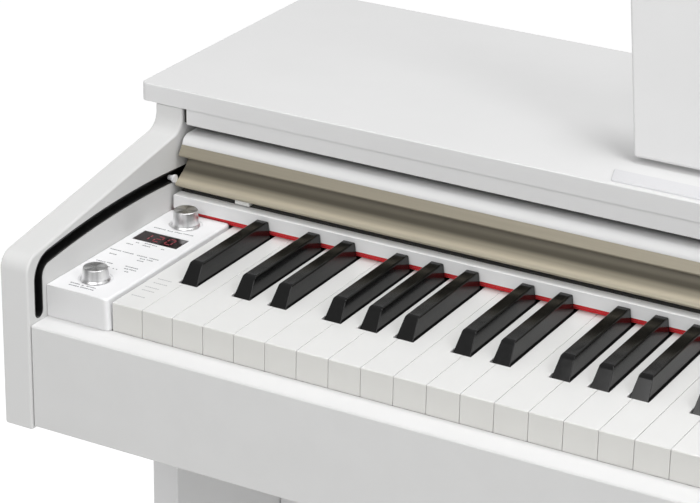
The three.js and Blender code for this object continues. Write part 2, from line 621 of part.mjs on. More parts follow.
// A flared board, drawn in its own plane with the hinge line at the bottom, then leant back.
function musicRest() {
  const rise = REST_HEIGHT - REST_THICKNESS / 2;
  const half = REST_WIDTH / 2;
  const topHalf = half + REST_HEIGHT * Math.tan(REST_FLARE);
  const face = new THREE.Shape();
  face.moveTo(-half, 0);
  face.lineTo(half, 0);
  face.lineTo(topHalf - 2, rise - REST_CORNER);
  face.quadraticCurveTo(topHalf, rise, topHalf - REST_CORNER, rise);
  face.lineTo(-topHalf + REST_CORNER, rise);
  face.quadraticCurveTo(-topHalf, rise, -topHalf + 2, rise - REST_CORNER);
  const board = runAlongY('music_rest', face, -REST_THICKNESS / 2, REST_THICKNESS / 2, paint, 5);
  const edge = rodAlongX('edge', 0, 0, -half, half, REST_THICKNESS / 2, paint, 20);
  const notches = [-REST_BRACKET_OFFSET, REST_BRACKET_OFFSET].map((x) =>
    block('notch', [x - REST_NOTCH_WIDTH / 2, x + REST_NOTCH_WIDTH / 2], [-9, 9], [-9, 10], paint));
  const bore = rodAlongX('bore', 0, 0, -half - 1, half + 1, REST_BORE_RADIUS, paint, 12);
  const rest = cut(join(board, edge), ...notches, bore);
  rest.rotation.x = -REST_LEAN;
  rest.position.set(MIDDLE_X, REST_PIVOT.y, REST_PIVOT.z);
  return rest;
}

function musicRestBracket(name, offset) {
  const x = MIDDLE_X + offset;
  const half = REST_NOTCH_WIDTH / 2 - 2;
  const { y, z } = REST_PIVOT;
  const { front, back, thickness, lugInset } = REST_BRACKET;
  const inset = half - lugInset;
  const plate = [LID_TOP_Z + FIT_GAP, LID_TOP_Z + thickness];
  const foot = block(name, [x - half, x + half], [y - front, y + back], plate, steel);
  const lug = block('lug', [x - inset, x + inset], [y - 4, y + 4], [LID_TOP_Z + 1, z], steel);
  const knuckle = rodAlongX('knuckle', y, z, x - inset, x + inset, REST_KNUCKLE_RADIUS, steel, 16);
  const bore = rodAlongX('bore', y, z, x - half, x + half, REST_BORE_RADIUS, steel, 12);
  return cut(join(foot, lug, knuckle), bore);
}

function musicRestRod() {
  const half = REST_WIDTH / 2 - 1;
  return rodAlongX('music_rest_rod', REST_PIVOT.y, REST_PIVOT.z, MIDDLE_X - half, MIDDLE_X + half,
    REST_ROD_RADIUS, steel, 12);
}

// A thin pad on the lid in front of the rest, a little wider at its back edge.
function musicRestLedge() {
  const { y0, y1, frontHalf, backHalf, top } = REST_LEDGE;
  const plan = polygon([
    [MIDDLE_X - frontHalf, y0], [MIDDLE_X + frontHalf, y0],
    [MIDDLE_X + backHalf, y1], [MIDDLE_X - backHalf, y1],
  ]);
  return runUpZ('music_rest_ledge', plan, LID_TOP_Z + FIT_GAP, LID_TOP_Z + top, rubber);
}

// Stand -------------------------------------------------------------------------------------------------

function leg(name, treble) {
  const [x0, x1] = span(SIDE_OUTER_X, SIDE_OUTER_X + LEG_THICKNESS, treble);
  return block(name, [x0, x1], [LEG_FRONT_Y, LEG_BACK_Y],
    [FLOOR + FOOT_HEIGHT + FIT_GAP, SIDE_BOTTOM_Z - FIT_GAP], paint);
}

function foot(name, treble) {
  const middle = SIDE_OUTER_X + LEG_THICKNESS / 2;
  const [x0, x1] = span(middle - FOOT_WIDTH / 2, middle + FOOT_WIDTH / 2, treble);
  const radius = FOOT_NOSE_RADIUS;
  const shape = new THREE.Shape();
  shape.moveTo(SIDE_BACK_Y, FLOOR);
  shape.lineTo(SIDE_BACK_Y, FLOOR + FOOT_HEIGHT);
  shape.lineTo(FOOT_FRONT_Y + radius, FLOOR + FOOT_HEIGHT);
  shape.absarc(FOOT_FRONT_Y + radius, FLOOR + FOOT_HEIGHT - radius, radius, Math.PI / 2, Math.PI, false);
  shape.lineTo(FOOT_FRONT_Y, FLOOR);
  return runAlongX(name, shape, x0, x1, paint);
}

function modestyPanel() {
  const top = SIDE_BOTTOM_Z - FIT_GAP;
  return block('modesty_panel', [INNER_X0, INNER_X1], [MODESTY_FRONT_Y, MODESTY_FRONT_Y + MODESTY_THICKNESS],
    [top - MODESTY_HEIGHT, top], paint);
}

function pedalX(place) {
  return MIDDLE_X + place * PEDAL_SPACING;
}

// A beam between the legs, hollow and open at the back, with a slot in front for each pedal.
function pedalBox() {
  const { y0, y1, z0, z1, wall } = PEDAL_BOX;
  const { half, below, above } = PEDAL_SLOT;
  const beam = block('pedal_box', [INNER_X0, INNER_X1], [y0, y1 - PEDAL_COVER_THICKNESS], [z0, z1], paint);
  const inside = [z0 + wall, z1 - wall];
  const hollow = block('hollow', [INNER_X0 + wall, INNER_X1 - wall], [y0 + wall, y1], inside, paint);
  const slots = [-1, 0, 1].map((place) => block('slot', [pedalX(place) - half, pedalX(place) + half],
    [y0 - 1, y0 + wall + 1], [PEDAL_PIVOT.z - below, PEDAL_PIVOT.z + above], paint));
  return cut(beam, hollow, ...slots);
}

function pedalBoxCover() {
  const { y1, z0, z1 } = PEDAL_BOX;
  const front = y1 - PEDAL_COVER_THICKNESS + FIT_GAP;
  return block('pedal_box_cover', [INNER_X0, INNER_X1], [front, y1], [z0, z1], paintedBack);
}

// A pedal lever: narrow shank from its pivot, widening to a rounded toe plate.
function pedal(name, place) {
  const x = pedalX(place);
  const [shank, toe] = [PEDAL_SHANK_HALF, PEDAL_TOE_RADIUS];
  const toeY = PEDAL_TIP_Y + toe;
  const back = PEDAL_PIVOT.y + 8;
  const shape = new THREE.Shape();
  shape.moveTo(x - shank, back);
  shape.lineTo(x - shank, toeY + 55);
  shape.bezierCurveTo(x - shank, toeY + 35, x - toe, toeY + 25, x - toe, toeY);
  shape.absarc(x, toeY, toe, Math.PI, 2 * Math.PI, false);
  shape.bezierCurveTo(x + toe, toeY + 25, x + shank, toeY + 35, x + shank, toeY + 55);
  shape.lineTo(x + shank, back);
  const half = PEDAL_THICKNESS / 2;
  return runUpZ(name, shape, PEDAL_PIVOT.z - half, PEDAL_PIVOT.z + half, brass, 6);
}

// A screw foot that takes the pedal box's load when a pedal is pressed.
function pedalAdjuster() {
  const top = PEDAL_BOX.z0 - FIT_GAP;
  return turned('pedal_adjuster', MIDDLE_X, (PEDAL_BOX.y0 + PEDAL_BOX.y1) / 2, [
    [0, FLOOR], [17, FLOOR], [19, FLOOR + 3], [19, FLOOR + 12], [17, FLOOR + 14], [6, FLOOR + 15],
    [6, top - 14], [0, top - 14],
  ], rubber, 20);
}

// Inside ------------------------------------------------------------------------------------------------

function speakerOval(x, length, width) {
  const radius = width / 2;
  const reach = length / 2 - radius;
  const shape = new THREE.Shape();
  shape.absarc(x + reach, SPEAKER.y, radius, -Math.PI / 2, Math.PI / 2, false);
  shape.absarc(x - reach, SPEAKER.y, radius, Math.PI / 2, 1.5 * Math.PI, false);
  return shape;
}

function speaker(name, treble) {
  const x = treble ? mirrored(SPEAKER_X) : SPEAKER_X;
  const base = BED_TOP_Z + FIT_GAP;
  const frame = runUpZ(name, speakerOval(x, SPEAKER.length, SPEAKER.width), base, base + 3, speakerCone);
  const cone = named('cone', new THREE.CylinderGeometry(17, 24, 20, 20), speakerCone);
  cone.rotation.x = Math.PI / 2;
  cone.position.set(x, SPEAKER.y, base + 12);
  const magnet = rodUpZ('magnet', x, SPEAKER.y, base + 20, base + 36, 20, speakerCone, 20);
  return join(frame, cone, magnet);
}

// The metal frame that carries the keys: a tray with a front stop and a pivot rail under the keys.
function keyChassis() {
  const { y0, y1, wall, stopTop, pivotY0, pivotY1, pivotTop } = CHASSIS;
  const base = BED_TOP_Z + FIT_GAP;
  const tray = polygon([
    [y0, base], [y0, stopTop], [y0 + wall, stopTop], [y0 + wall, base + wall], [pivotY0, base + wall],
    [pivotY0, pivotTop], [pivotY1, pivotTop], [pivotY1, base + wall], [y1, base + wall], [y1, base],
  ]);
  return runAlongX('key_chassis', tray, -2, KEYBOARD_WIDTH + 2, steel);
}

// Components on the two boards: place on the board, width, depth and height.
const MAIN_BOARD_CHIPS = [[20, 20, 30, 30, 4], [80, 30, 24, 24, 3], [130, 60, 40, 20, 12]];
const POWER_BOARD_CHIPS = [[15, 15, 40, 30, 26], [75, 20, 18, 18, 30], [80, 55, 36, 20, 14]];

function circuitBoard(name, x, y, width, depth, chips) {
  const z = BED_TOP_Z + FIT_GAP;
  const board = block(name, [x, x + width], [y, y + depth], [z, z + 2], circuit);
  const parts = chips.map(([cx, cy, w, d, h]) =>
    block('chip', [x + cx, x + cx + w], [y + cy, y + cy + d], [z + 1, z + 2 + h], circuit));
  return join(board, ...parts);
}

// The headphone socket box under the key bed, with two round sockets in front.
function jackBox() {
  const top = BED_BOTTOM_Z - FIT_GAP;
  const height = [top - JACK.height, top];
  const box = block('headphone_box', [JACK.x0, JACK.x1], [JACK.y0, JACK.y1], height, blackPlastic);
  const middleX = (JACK.x0 + JACK.x1) / 2;
  const sockets = [-0.5, 0.5].map((side) => {
    const mesh = named('socket', new THREE.CylinderGeometry(JACK.radius, JACK.radius, 24, 16), blackPlastic);
    mesh.position.set(middleX + side * JACK.spacing, JACK.y0 + JACK.setBack, top - JACK.height / 2);
    return mesh;
  });
  return cut(box, ...sockets);
}

// The power inlet in the back panel: a flange round a rectangular socket.
function powerInlet() {
  const { halfWidth, halfHeight, socketHalfWidth, socketHalfHeight } = INLET;
  const around = (name, width, height, y) =>
    block(name, [INLET.x - width, INLET.x + width], y, [INLET.z - height, INLET.z + height], blackPlastic);
  const flangeDepth = [SIDE_BACK_Y + FIT_GAP, SIDE_BACK_Y + 2.4];
  const flange = around('power_inlet', halfWidth + 5, halfHeight + 5, flangeDepth);
  const body = around('body', halfWidth, halfHeight, [SIDE_BACK_Y - 26, SIDE_BACK_Y + 1]);
  const socket = around('socket', socketHalfWidth, socketHalfHeight, [SIDE_BACK_Y - 14, SIDE_BACK_Y + 4]);
  return cut(join(flange, body), socket);
}

// Assembly ----------------------------------------------------------------------------------------------

function keyboard() {
  const group = new THREE.Group();
  for (let index = 0; index < HINGED_WHITE_KEYS; index += 1) {
    group.add(whiteKeySolid(index));
    if (blackCentre(index) !== null) group.add(blackKeySolid(index));
  }
  group.add(whiteKeyBank(), blackKeyBank());
  return group;
}

function cabinet() {
  const group = new THREE.Group();
  group.add(
    topPanel(),
    block('top_sub_rail', [SUB_RAIL.x0, mirrored(SUB_RAIL.x0)], [SUB_RAIL.y0, SUB_RAIL.y1],
      [SUB_RAIL.bottom, LID_BOTTOM_Z - FIT_GAP], paint),
    sidePanel('side_panel_left', false),
    sidePanel('side_panel_right', true),
    trackLiner('track_liner_left', false),
    trackLiner('track_liner_right', true),
    keyBed(),
    frontRail(),
    cabinetBack(),
    keyRearRail(),
    block('felt_strip', [COVER_X0, COVER_X1], [FELT.y0, FELT.y1], [FELT.bottom, FELT.top], felt),
  );
  return group;
}

function keyCover() {
  const group = new THREE.Group();
  group.add(
    coverPanel(),
    coverHandle(),
    coverPin('fallboard_pin_left', false),
    coverPin('fallboard_pin_right', true),
  );
  return group;
}

function controls() {
  const group = new THREE.Group();
  group.add(
    controlPanel(),
    controlBoard(),
    displayWindow(),
    knob('volume_knob', VOLUME_KNOB, aluminium),
    knob('select_knob', SELECT_KNOB, aluminium),
    endBlock(),
    powerButton(),
  );
  return group;
}

function musicDesk() {
  const group = new THREE.Group();
  group.add(
    musicRest(),
    musicRestRod(),
    musicRestBracket('music_rest_bracket_left', -REST_BRACKET_OFFSET),
    musicRestBracket('music_rest_bracket_right', REST_BRACKET_OFFSET),
    musicRestLedge(),
  );
  return group;
}

function stand() {
  const group = new THREE.Group();
  group.add(
    leg('leg_left', false),
    leg('leg_right', true),
    foot('foot_left', false),
    foot('foot_right', true),
    modestyPanel(),
    pedalBox(),
    pedalBoxCover(),
    pedal('pedal_soft', -1),
    pedal('pedal_sostenuto', 0),
    pedal('pedal_sustain', 1),
    pedalAdjuster(),
  );
  return group;
}

function insides() {
  const group = new THREE.Group();
  group.add(
    keyChassis(),
    speaker('speaker_left', false),
    speaker('speaker_right', true),
    circuitBoard('main_board', 330, 250, 190, 110, MAIN_BOARD_CHIPS),
    circuitBoard('power_board', 700, 255, 130, 90, POWER_BOARD_CHIPS),
    jackBox(),
    powerInlet(),
  );
  return group;
}

const piano = new THREE.Group();
piano.position.set(-MIDDLE_X, -DEPTH_CENTRE_Y, KEY_TOP_ABOVE_FLOOR);
piano.add(keyboard(), cabinet(), keyCover(), controls(), musicDesk(), stand(), insides());

export default piano;
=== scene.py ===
"""Looks of a white digital piano on a panel stand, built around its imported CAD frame.

Pieces are drawn in millimetres in the keyboard's own frame: x = 0 at the bass end of the keys, y = 0 at
the key fronts, z = 0 at the tops of the white keys. The frame's boxes say where that is, and how large
each part is.
"""
import math

import bmesh
import bpy
from mathutils import Matrix, Vector, noise


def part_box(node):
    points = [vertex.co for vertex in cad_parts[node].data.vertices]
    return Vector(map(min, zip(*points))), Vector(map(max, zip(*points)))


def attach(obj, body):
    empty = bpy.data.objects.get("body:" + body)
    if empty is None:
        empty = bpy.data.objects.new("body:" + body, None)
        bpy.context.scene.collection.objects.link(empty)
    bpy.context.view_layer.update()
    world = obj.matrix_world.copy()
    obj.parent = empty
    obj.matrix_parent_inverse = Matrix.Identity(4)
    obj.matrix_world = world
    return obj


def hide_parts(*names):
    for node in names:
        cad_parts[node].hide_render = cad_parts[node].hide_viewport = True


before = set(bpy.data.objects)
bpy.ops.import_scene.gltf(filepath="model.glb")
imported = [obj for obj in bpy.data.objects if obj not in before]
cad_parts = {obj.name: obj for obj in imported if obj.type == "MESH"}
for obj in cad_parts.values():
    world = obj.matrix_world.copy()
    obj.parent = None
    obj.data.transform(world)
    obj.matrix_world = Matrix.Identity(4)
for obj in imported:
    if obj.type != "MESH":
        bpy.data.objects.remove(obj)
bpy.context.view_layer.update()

# Frame ----

MM = 0.001
KEY_GAP = 1.06
key_low, key_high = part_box("key_A0")
ORIGIN = Vector((key_low.x - KEY_GAP / 2 * MM, key_low.y, key_high.z))
TO_FRAME = Matrix.Translation(ORIGIN) @ Matrix.Diagonal((MM, MM, MM, 1))


def extent(node):
    """The CAD node's box in the keyboard's millimetres: [(x0, x1), (y0, y1), (z0, z1)]."""
    low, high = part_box(node)
    return [((a - o) / MM, (b - o) / MM) for a, b, o in zip(low, high, ORIGIN)]


def centre(node):
    """The middle of the CAD node's box, in the same millimetres."""
    return [sum(pair) / 2 for pair in extent(node)]


WIDTH = 2 * centre("top_panel")[0]
WHITE_KEYS = 52
PITCH = WIDTH / WHITE_KEYS


def mirrored(x):
    return WIDTH - x


# Meshes ----

PLANES = {
    "x": lambda a, b, t: (t, a, b),
    "y": lambda a, b, t: (a, t, b),
    "z": lambda a, b, t: (a, b, t),
}
CREASE = math.radians(40)


def arc(a, b, radius, start, end, steps=10):
    """Points on a circle about (a, b), from one angle to another, in degrees."""
    angles = [math.radians(start + (end - start) * i / steps) for i in range(steps + 1)]
    return [(a + radius * math.cos(t), b + radius * math.sin(t)) for t in angles]


def prism(outline, axis, low, high):
    """A solid with the outline's section in the other two axes, run from low to high along the axis."""
    bm = bmesh.new()
    put = PLANES[axis]
    ends = [[bm.verts.new(put(a, b, t)) for a, b in outline] for t in (low, high)]
    bm.faces.new(ends[0])
    bm.faces.new(reversed(ends[1]))
    count = len(outline)
    for i in range(count):
        j = (i + 1) % count
        bm.faces.new((ends[0][j], ends[0][i], ends[1][i], ends[1][j]))
    bmesh.ops.recalc_face_normals(bm, faces=bm.faces)
    return bm


def box(x, y, z):
    """A block between two places along each axis."""
    return prism([(x[0], y[0]), (x[1], y[0]), (x[1], y[1]), (x[0], y[1])], "z", *z)


def lofted(bm, rings):
    """Skins a row of equal rings of vertices and closes both ends."""
    for first, second in zip(rings, rings[1:]):
        for i in range(len(first)):
            j = (i + 1) % len(first)
            bm.faces.new((first[i], first[j], second[j], second[i]))
    bm.faces.new(rings[0])
    bm.faces.new(reversed(rings[-1]))
    return bm


def turned(profile, x, y, sides=96):
    """A solid of revolution about a vertical axis, from (radius, z) points that start and end on it."""
    bm = bmesh.new()
    angles = [2 * math.pi * i / sides for i in range(sides)]
    rings = []
    for radius, z in profile:
        if radius == 0:
            rings.append([bm.verts.new((x, y, z))])
        else:
            circle = [(x + radius * math.cos(t), y + radius * math.sin(t), z) for t in angles]
            rings.append([bm.verts.new(point) for point in circle])
    for low, high in zip(rings, rings[1:]):
        for i in range(sides):
            j = (i + 1) % sides
            corners = [low[i % len(low)], low[j % len(low)], high[j % len(high)], high[i % len(high)]]
            bm.faces.new(list(dict.fromkeys(corners)))
    bmesh.ops.recalc_face_normals(bm, faces=bm.faces)
    return bm


def soften(bm, width, segments=3, where=None):
    """Rounds the sharp edges, or those of them that the test picks."""
    edges = [e for e in bm.edges if e.calc_face_angle(0) > CREASE and (where is None or where(e))]
    bmesh.ops.bevel(bm, geom=edges, offset=width, offset_type="OFFSET", segments=segments, profile=0.5,
                    affect="EDGES", clamp_overlap=True)
    return bm


def both(edge, test):
    """Whether the test holds at both ends of the edge."""
    return all(test(v.co) for v in edge.verts)


def above(level):
    """The test for edges that lie wholly above a height."""
    return lambda e: both(e, lambda v: v.z > level)


def below(level):
    """The test for edges that lie wholly below a height."""
    return lambda e: both(e, lambda v: v.z < level)


def added(name, data):
    """A new object in the scene."""
    obj = bpy.data.objects.new(name, data)
    bpy.context.scene.collection.objects.link(obj)
    return obj


def scene_object(name, bm):
    """An object in the scene that holds the solid."""
    mesh = bpy.data.meshes.new(name)
    bm.to_mesh(mesh)
    bm.free()
    return added(name, mesh)


def rounded(bm, most, width_of):
    """Rounds each edge by the width the rule gives it, up to the most."""
    layer = bm.edges.layers.float.new("bevel_weight_edge")
    for edge in bm.edges:
        edge[layer] = width_of(edge) / most
    obj = scene_object("solid", bm)
    bevel = obj.modifiers.new("round", "BEVEL")
    bevel.width = most
    bevel.limit_method = "WEIGHT"
    bevel.segments = 5
    return evaluated([obj])


def evaluated(objects):
    """The first object's solid after its modifiers; all the objects are then removed."""
    graph = bpy.context.evaluated_depsgraph_get()
    mesh = bpy.data.meshes.new_from_object(objects[0].evaluated_get(graph))
    result = bmesh.new()
    result.from_mesh(mesh)
    bpy.data.meshes.remove(mesh)
    for obj in objects:
        bpy.data.meshes.remove(obj.data)
    return result


def merged(*parts):
    """One mesh that holds several separate closed solids."""
    total = bmesh.new()
    for part in parts:
        mesh = bpy.data.meshes.new("part")
        part.to_mesh(mesh)
        part.free()
        total.from_mesh(mesh)
        bpy.data.meshes.remove(mesh)
    return total


def carved(bm, *cutters):
    """The solid with the cutters' volumes taken out."""
    made = [scene_object("solid", solid) for solid in (bm, *cutters)]
    for tool in made[1:]:
        cut = made[0].modifiers.new("cut", "BOOLEAN")
        cut.operation = "DIFFERENCE"
        cut.solver = "EXACT"
        cut.object = tool
    return evaluated(made)


def piece(name, bm, material, body="cabinet", node=None):
    """Turns a solid into a piece that rides on a body and stands for its CAD node, if it has one."""
    bmesh.ops.recalc_face_normals(bm, faces=bm.faces)
    obj = scene_object(name, bm)
    mesh = obj.data
    mesh.transform(TO_FRAME)
    mesh.polygons.foreach_set("use_smooth", [True] * len(mesh.polygons))
    mesh.set_sharp_from_angle(angle=CREASE)
    mesh.materials.append(material)
    normals = obj.modifiers.new("even_normals", "WEIGHTED_NORMAL")
    normals.keep_sharp = True
    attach(obj, body)
    if node:
        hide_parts(node)


# Materials ----


def scaled(colour, factor):
    return tuple(min(1.0, c * factor) for c in colour)


class Finish:
    """A Principled material whose colour, roughness and relief come from noise in object space."""

    def __init__(self, name, colour, roughness, **sockets):
        self.material = bpy.data.materials.new(name)
        self.material.use_nodes = True
        self.tree = self.material.node_tree
        self.shader = self.tree.nodes["Principled BSDF"]
        self.colour = colour
        self.shader.inputs["Base Color"].default_value = (*colour, 1)
        self.shader.inputs["Roughness"].default_value = roughness
        for socket, value in sockets.items():
            self.shader.inputs[socket.replace("_", " ")].default_value = value
        self.coordinate_node = self.node("ShaderNodeTexCoord")
        self.coordinates = self.coordinate_node.outputs["Object"]

    def node(self, kind, **settings):
        made = self.tree.nodes.new(kind)
        for key, value in settings.items():
            setattr(made, key, value)
        return made

    def link(self, source, target):
        self.tree.links.new(source, target)

    def mapped(self, stretch=(1, 1, 1)):
        """Object coordinates, stretched along each axis."""
        mapping = self.node("ShaderNodeMapping")
        mapping.inputs["Scale"].default_value = stretch
        self.link(self.coordinates, mapping.inputs["Vector"])
        return mapping.outputs["Vector"]

    def noise(self, scale, detail=3.0, stretch=(1, 1, 1)):
        made = self.node("ShaderNodeTexNoise")
        made.inputs["Scale"].default_value = scale
        made.inputs["Detail"].default_value = detail
        made.inputs["Roughness"].default_value = 0.55
        self.link(self.mapped(stretch), made.inputs["Vector"])
        return made.outputs["Fac"]

    def along(self, axis):
        """The place along one axis."""
        split = self.node("ShaderNodeSeparateXYZ")
        self.link(self.coordinates, split.inputs[0])
        return split.outputs[axis]

    def ranged(self, value, low, high, start=0.3, end=0.7):
        """The value, moved from start..end to low..high."""
        made = self.node("ShaderNodeMapRange")
        numbers = {"From Min": start, "From Max": end, "To Min": low, "To Max": high}
        for socket, number in numbers.items():
            made.inputs[socket].default_value = number
        self.link(value, made.inputs["Value"])
        return made.outputs["Result"]

    def mixed(self, factor, first, second):
        """A blend of two colours, each a tuple or another node's output."""
        made = self.node("ShaderNodeMix", data_type="RGBA")
        for socket, colour in ((6, first), (7, second)):
            if isinstance(colour, tuple):
                made.inputs[socket].default_value = (*colour, 1)
            else:
                self.link(colour, made.inputs[socket])
        self.link(factor, made.inputs[0])
        return made.outputs[2]

    def tint(self, scale, amount, detail=3.0):
        """Colour drifts a little darker and lighter."""
        factor = self.ranged(self.noise(scale, detail), 0, 1)
        tones = self.mixed(factor, scaled(self.colour, 1 - amount), scaled(self.colour, 1 + amount))
        self.link(tones, self.shader.inputs["Base Color"])
        return self

    def grain(self, scale, low, high, stretch=(1, 1, 1)):
        """Roughness drifts between two values."""
        drift = self.ranged(self.noise(scale, stretch=stretch), low, high)
        self.link(drift, self.shader.inputs["Roughness"])
        return self

    def relief(self, scale, depth, strength=0.5, stretch=(1, 1, 1), detail=2.0):
        """Fine surface relief, depth in millimetres."""
        bump = self.node("ShaderNodeBump")
        bump.inputs["Strength"].default_value = strength
        bump.inputs["Distance"].default_value = depth * MM
        self.link(self.noise(scale, detail, stretch), bump.inputs["Height"])
        self.link(bump.outputs["Normal"], self.shader.inputs["Normal"])
        return self


# Scale, darkest and lightest factors of the reflection painted in a fan on the turned aluminium.
PAINTED_FAN_SCALE = 1.1
PAINTED_FAN_DARK, PAINTED_FAN_LIGHT = 0.62, 1.25


def spun_metal(name, colour):
    """Turned aluminium whose colour holds a painted reflection: brightness that fans round the piece's
    middle, as light on a lathe finish shows it.
    """
    made = Finish(name, colour, 0.3, Metallic=1.0, Anisotropic=0.7)
    tangent = made.node("ShaderNodeTangent", direction_type="RADIAL", axis="Z")
    made.link(tangent.outputs["Tangent"], made.shader.inputs["Tangent"])
    made.grain(2500, 0.26, 0.36)
    # Painted reflection: the colour turns lighter and darker in sectors round the middle.
    middle = made.node("ShaderNodeVectorMath", operation="SUBTRACT")
    middle.inputs[1].default_value = (0.5, 0.5, 0.5)
    made.link(made.coordinate_node.outputs["Generated"], middle.inputs[0])
    flat = made.node("ShaderNodeVectorMath", operation="MULTIPLY")
    flat.inputs[1].default_value = (1, 1, 0)
    made.link(middle.outputs[0], flat.inputs[0])
    around = made.node("ShaderNodeVectorMath", operation="NORMALIZE")
    made.link(flat.outputs[0], around.inputs[0])
    reflection_fan = made.node("ShaderNodeTexNoise")
    reflection_fan.inputs["Scale"].default_value = PAINTED_FAN_SCALE
    reflection_fan.inputs["Detail"].default_value = 2.0
    made.link(around.outputs[0], reflection_fan.inputs["Vector"])
    shade = made.ranged(reflection_fan.outputs["Fac"], 0, 1, 0.38, 0.62)
    painted_reflection = made.mixed(shade, scaled(colour, PAINTED_FAN_DARK), scaled(colour, PAINTED_FAN_LIGHT))
    made.link(painted_reflection, made.shader.inputs["Base Color"])
    return made.material


def painted_front_shade(made, front_y, depth, front, rest):
    """Painted shade on front faces: one cloudy tone on faces at front_y, and another on all that lies
    further back than the depth; the callers give the front a darker tone, painted for the shade on faces
    that look forward.
    """
    start = ORIGIN.y + front_y * MM
    share = made.ranged(made.along("Y"), 0, 1, start, start + depth * MM)
    tones = []
    for scale, colour in ((45, front), (30, rest)):
        cloud = made.ranged(made.noise(scale), 0, 1)
        tones.append(made.mixed(cloud, scaled(colour, 0.985), scaled(colour, 1.01)))
    made.link(made.mixed(share, *tones), made.shader.inputs["Base Color"])


def key_finish(name, top, front):
    """Polished white key plastic whose front faces are painted a little darker, as shade, and a little
    warmer.
    """
    made = Finish(name, top, 0.3, Coat_Weight=0.15, Coat_Roughness=0.2)
    made.grain(160, 0.28, 0.34)
    made.relief(500, 0.001, 0.05)
    painted_front_shade(made, 0.1, 0.6, front, top)
    return made.material


def moulding_finish(name, top, front):
    """Fine-grained white moulding; the front faces of the end blocks are painted darker, as shade."""
    made = Finish(name, top, 0.5, Specular_IOR_Level=0.4)
    made.grain(300, 0.46, 0.54)
    made.relief(1500, 0.004, 0.12)
    painted_front_shade(made, extent("control_panel")[1][0] + 0.1, 1.1, front, top)
    return made.material


def lacquered(name, colour):
    """Satin lacquer, with the slight unevenness of a sprayed coat."""
    made = Finish(name, colour, 0.6, Specular_IOR_Level=0.35)
    made.grain(90, 0.57, 0.64)
    made.relief(420, 0.004, 0.10)
    return made


def rail_finish(name, top, front):
    """Satin lacquer of one tone; only the front rail's front face is painted darker, as shade."""
    made = lacquered(name, top)
    painted_front_shade(made, extent("front_rail")[1][0] + 0.2, 2.4, front, top)
    return made.material


# Height above the keys, and how bright the colour is painted there: a painted highlight on the nose,
# painted shade deep in the hollow.
HANDLE_PAINTED_SHADES = [
    (20.0, 0.70), (22.8, 0.72), (25.0, 1.0), (27.2, 0.74), (30.0, 0.26),
    (33.4, 0.39), (36.4, 0.32), (41.5, 0.36), (43.0, 0.50), (50.0, 0.52),
]
HANDLE_LOW, HANDLE_HIGH = HANDLE_PAINTED_SHADES[0][0], HANDLE_PAINTED_SHADES[-1][0]


def handle_finish(name, colour):
    """Drawn and anodised metal with fine lines along its length; its colour is painted darker in the finger
    hollow as shade, and brighter on the nose as a highlight.
    """
    made = Finish(name, colour, 0.5, Metallic=0.35)
    made.grain(500, 0.47, 0.53, stretch=(0.02, 1, 1))
    made.relief(1500, 0.001, 0.06, stretch=(0.012, 1, 1))
    height = made.ranged(made.along("Z"), 0, 1, ORIGIN.z + HANDLE_LOW * MM, ORIGIN.z + HANDLE_HIGH * MM)
    # Painted shade and highlight: the colour steps darker into the hollow and brighter on the nose.
    painted_shade_ramp = made.node("ShaderNodeValToRGB")
    painted_shade_ramp.color_ramp.interpolation = "EASE"
    stops = painted_shade_ramp.color_ramp.elements
    for level, shade in HANDLE_PAINTED_SHADES:
        place = (level - HANDLE_LOW) / (HANDLE_HIGH - HANDLE_LOW)
        stop = stops[0] if place == 0 else stops[-1] if place == 1 else stops.new(place)
        stop.color = (*scaled(colour, shade), 1)
    made.link(height, painted_shade_ramp.inputs[0])
    lines = made.ranged(made.noise(400, stretch=(0.02, 1, 1)), 0.96, 1.04)
    drawn = made.node("ShaderNodeVectorMath", operation="SCALE")
    made.link(painted_shade_ramp.outputs["Color"], drawn.inputs[0])
    made.link(lines, drawn.inputs["Scale"])
    made.link(drawn.outputs[0], made.shader.inputs["Base Color"])
    return made.material


def felt_finish(name, colour):
    """Pressed felt: mottled, matt and fuzzy."""
    made = Finish(name, colour, 0.95, Sheen_Weight=0.25, Sheen_Roughness=0.4)
    made.tint(1600, 0.22, detail=6)
    made.relief(2600, 0.25, 0.6, detail=6)
    return made.material


def circuit_finish(name):
    """Green solder mask with fine copper runs showing through."""
    made = Finish(name, (0.015, 0.13, 0.05), 0.35)
    brick = made.node("ShaderNodeTexBrick")
    settings = {"Scale": 90, "Mortar Size": 0.03, "Color1": (0.015, 0.13, 0.05, 1),
                "Color2": (0.012, 0.11, 0.045, 1), "Mortar": (0.05, 0.22, 0.08, 1)}
    for socket, value in settings.items():
        brick.inputs[socket].default_value = value
    made.link(made.mapped(), brick.inputs["Vector"])
    made.link(brick.outputs["Color"], made.shader.inputs["Base Color"])
    made.grain(700, 0.3, 0.45)
    return made.material


# One white lacquer in three copies: the darker copy on the side boards is painted shade, and the lighter
# copy on the rails and key cover is painted light.
lacquer = lacquered("white_lacquer", (0.705, 0.705, 0.705)).tint(14, 0.010).material
side_lacquer_painted_shade = lacquered("side_lacquer_painted_shade", (0.65, 0.65, 0.645)).tint(14, 0.010).material
# Its second colour is painted shade on the front rail's front face.
lacquer_painted_light = rail_finish("lacquer_painted_light", (0.745, 0.745, 0.745), (0.635, 0.635, 0.63))
# The moulding's second colour is painted shade on the end blocks' front faces.
moulded = moulding_finish("white_moulding", (0.82, 0.82, 0.83), (0.69, 0.69, 0.69))
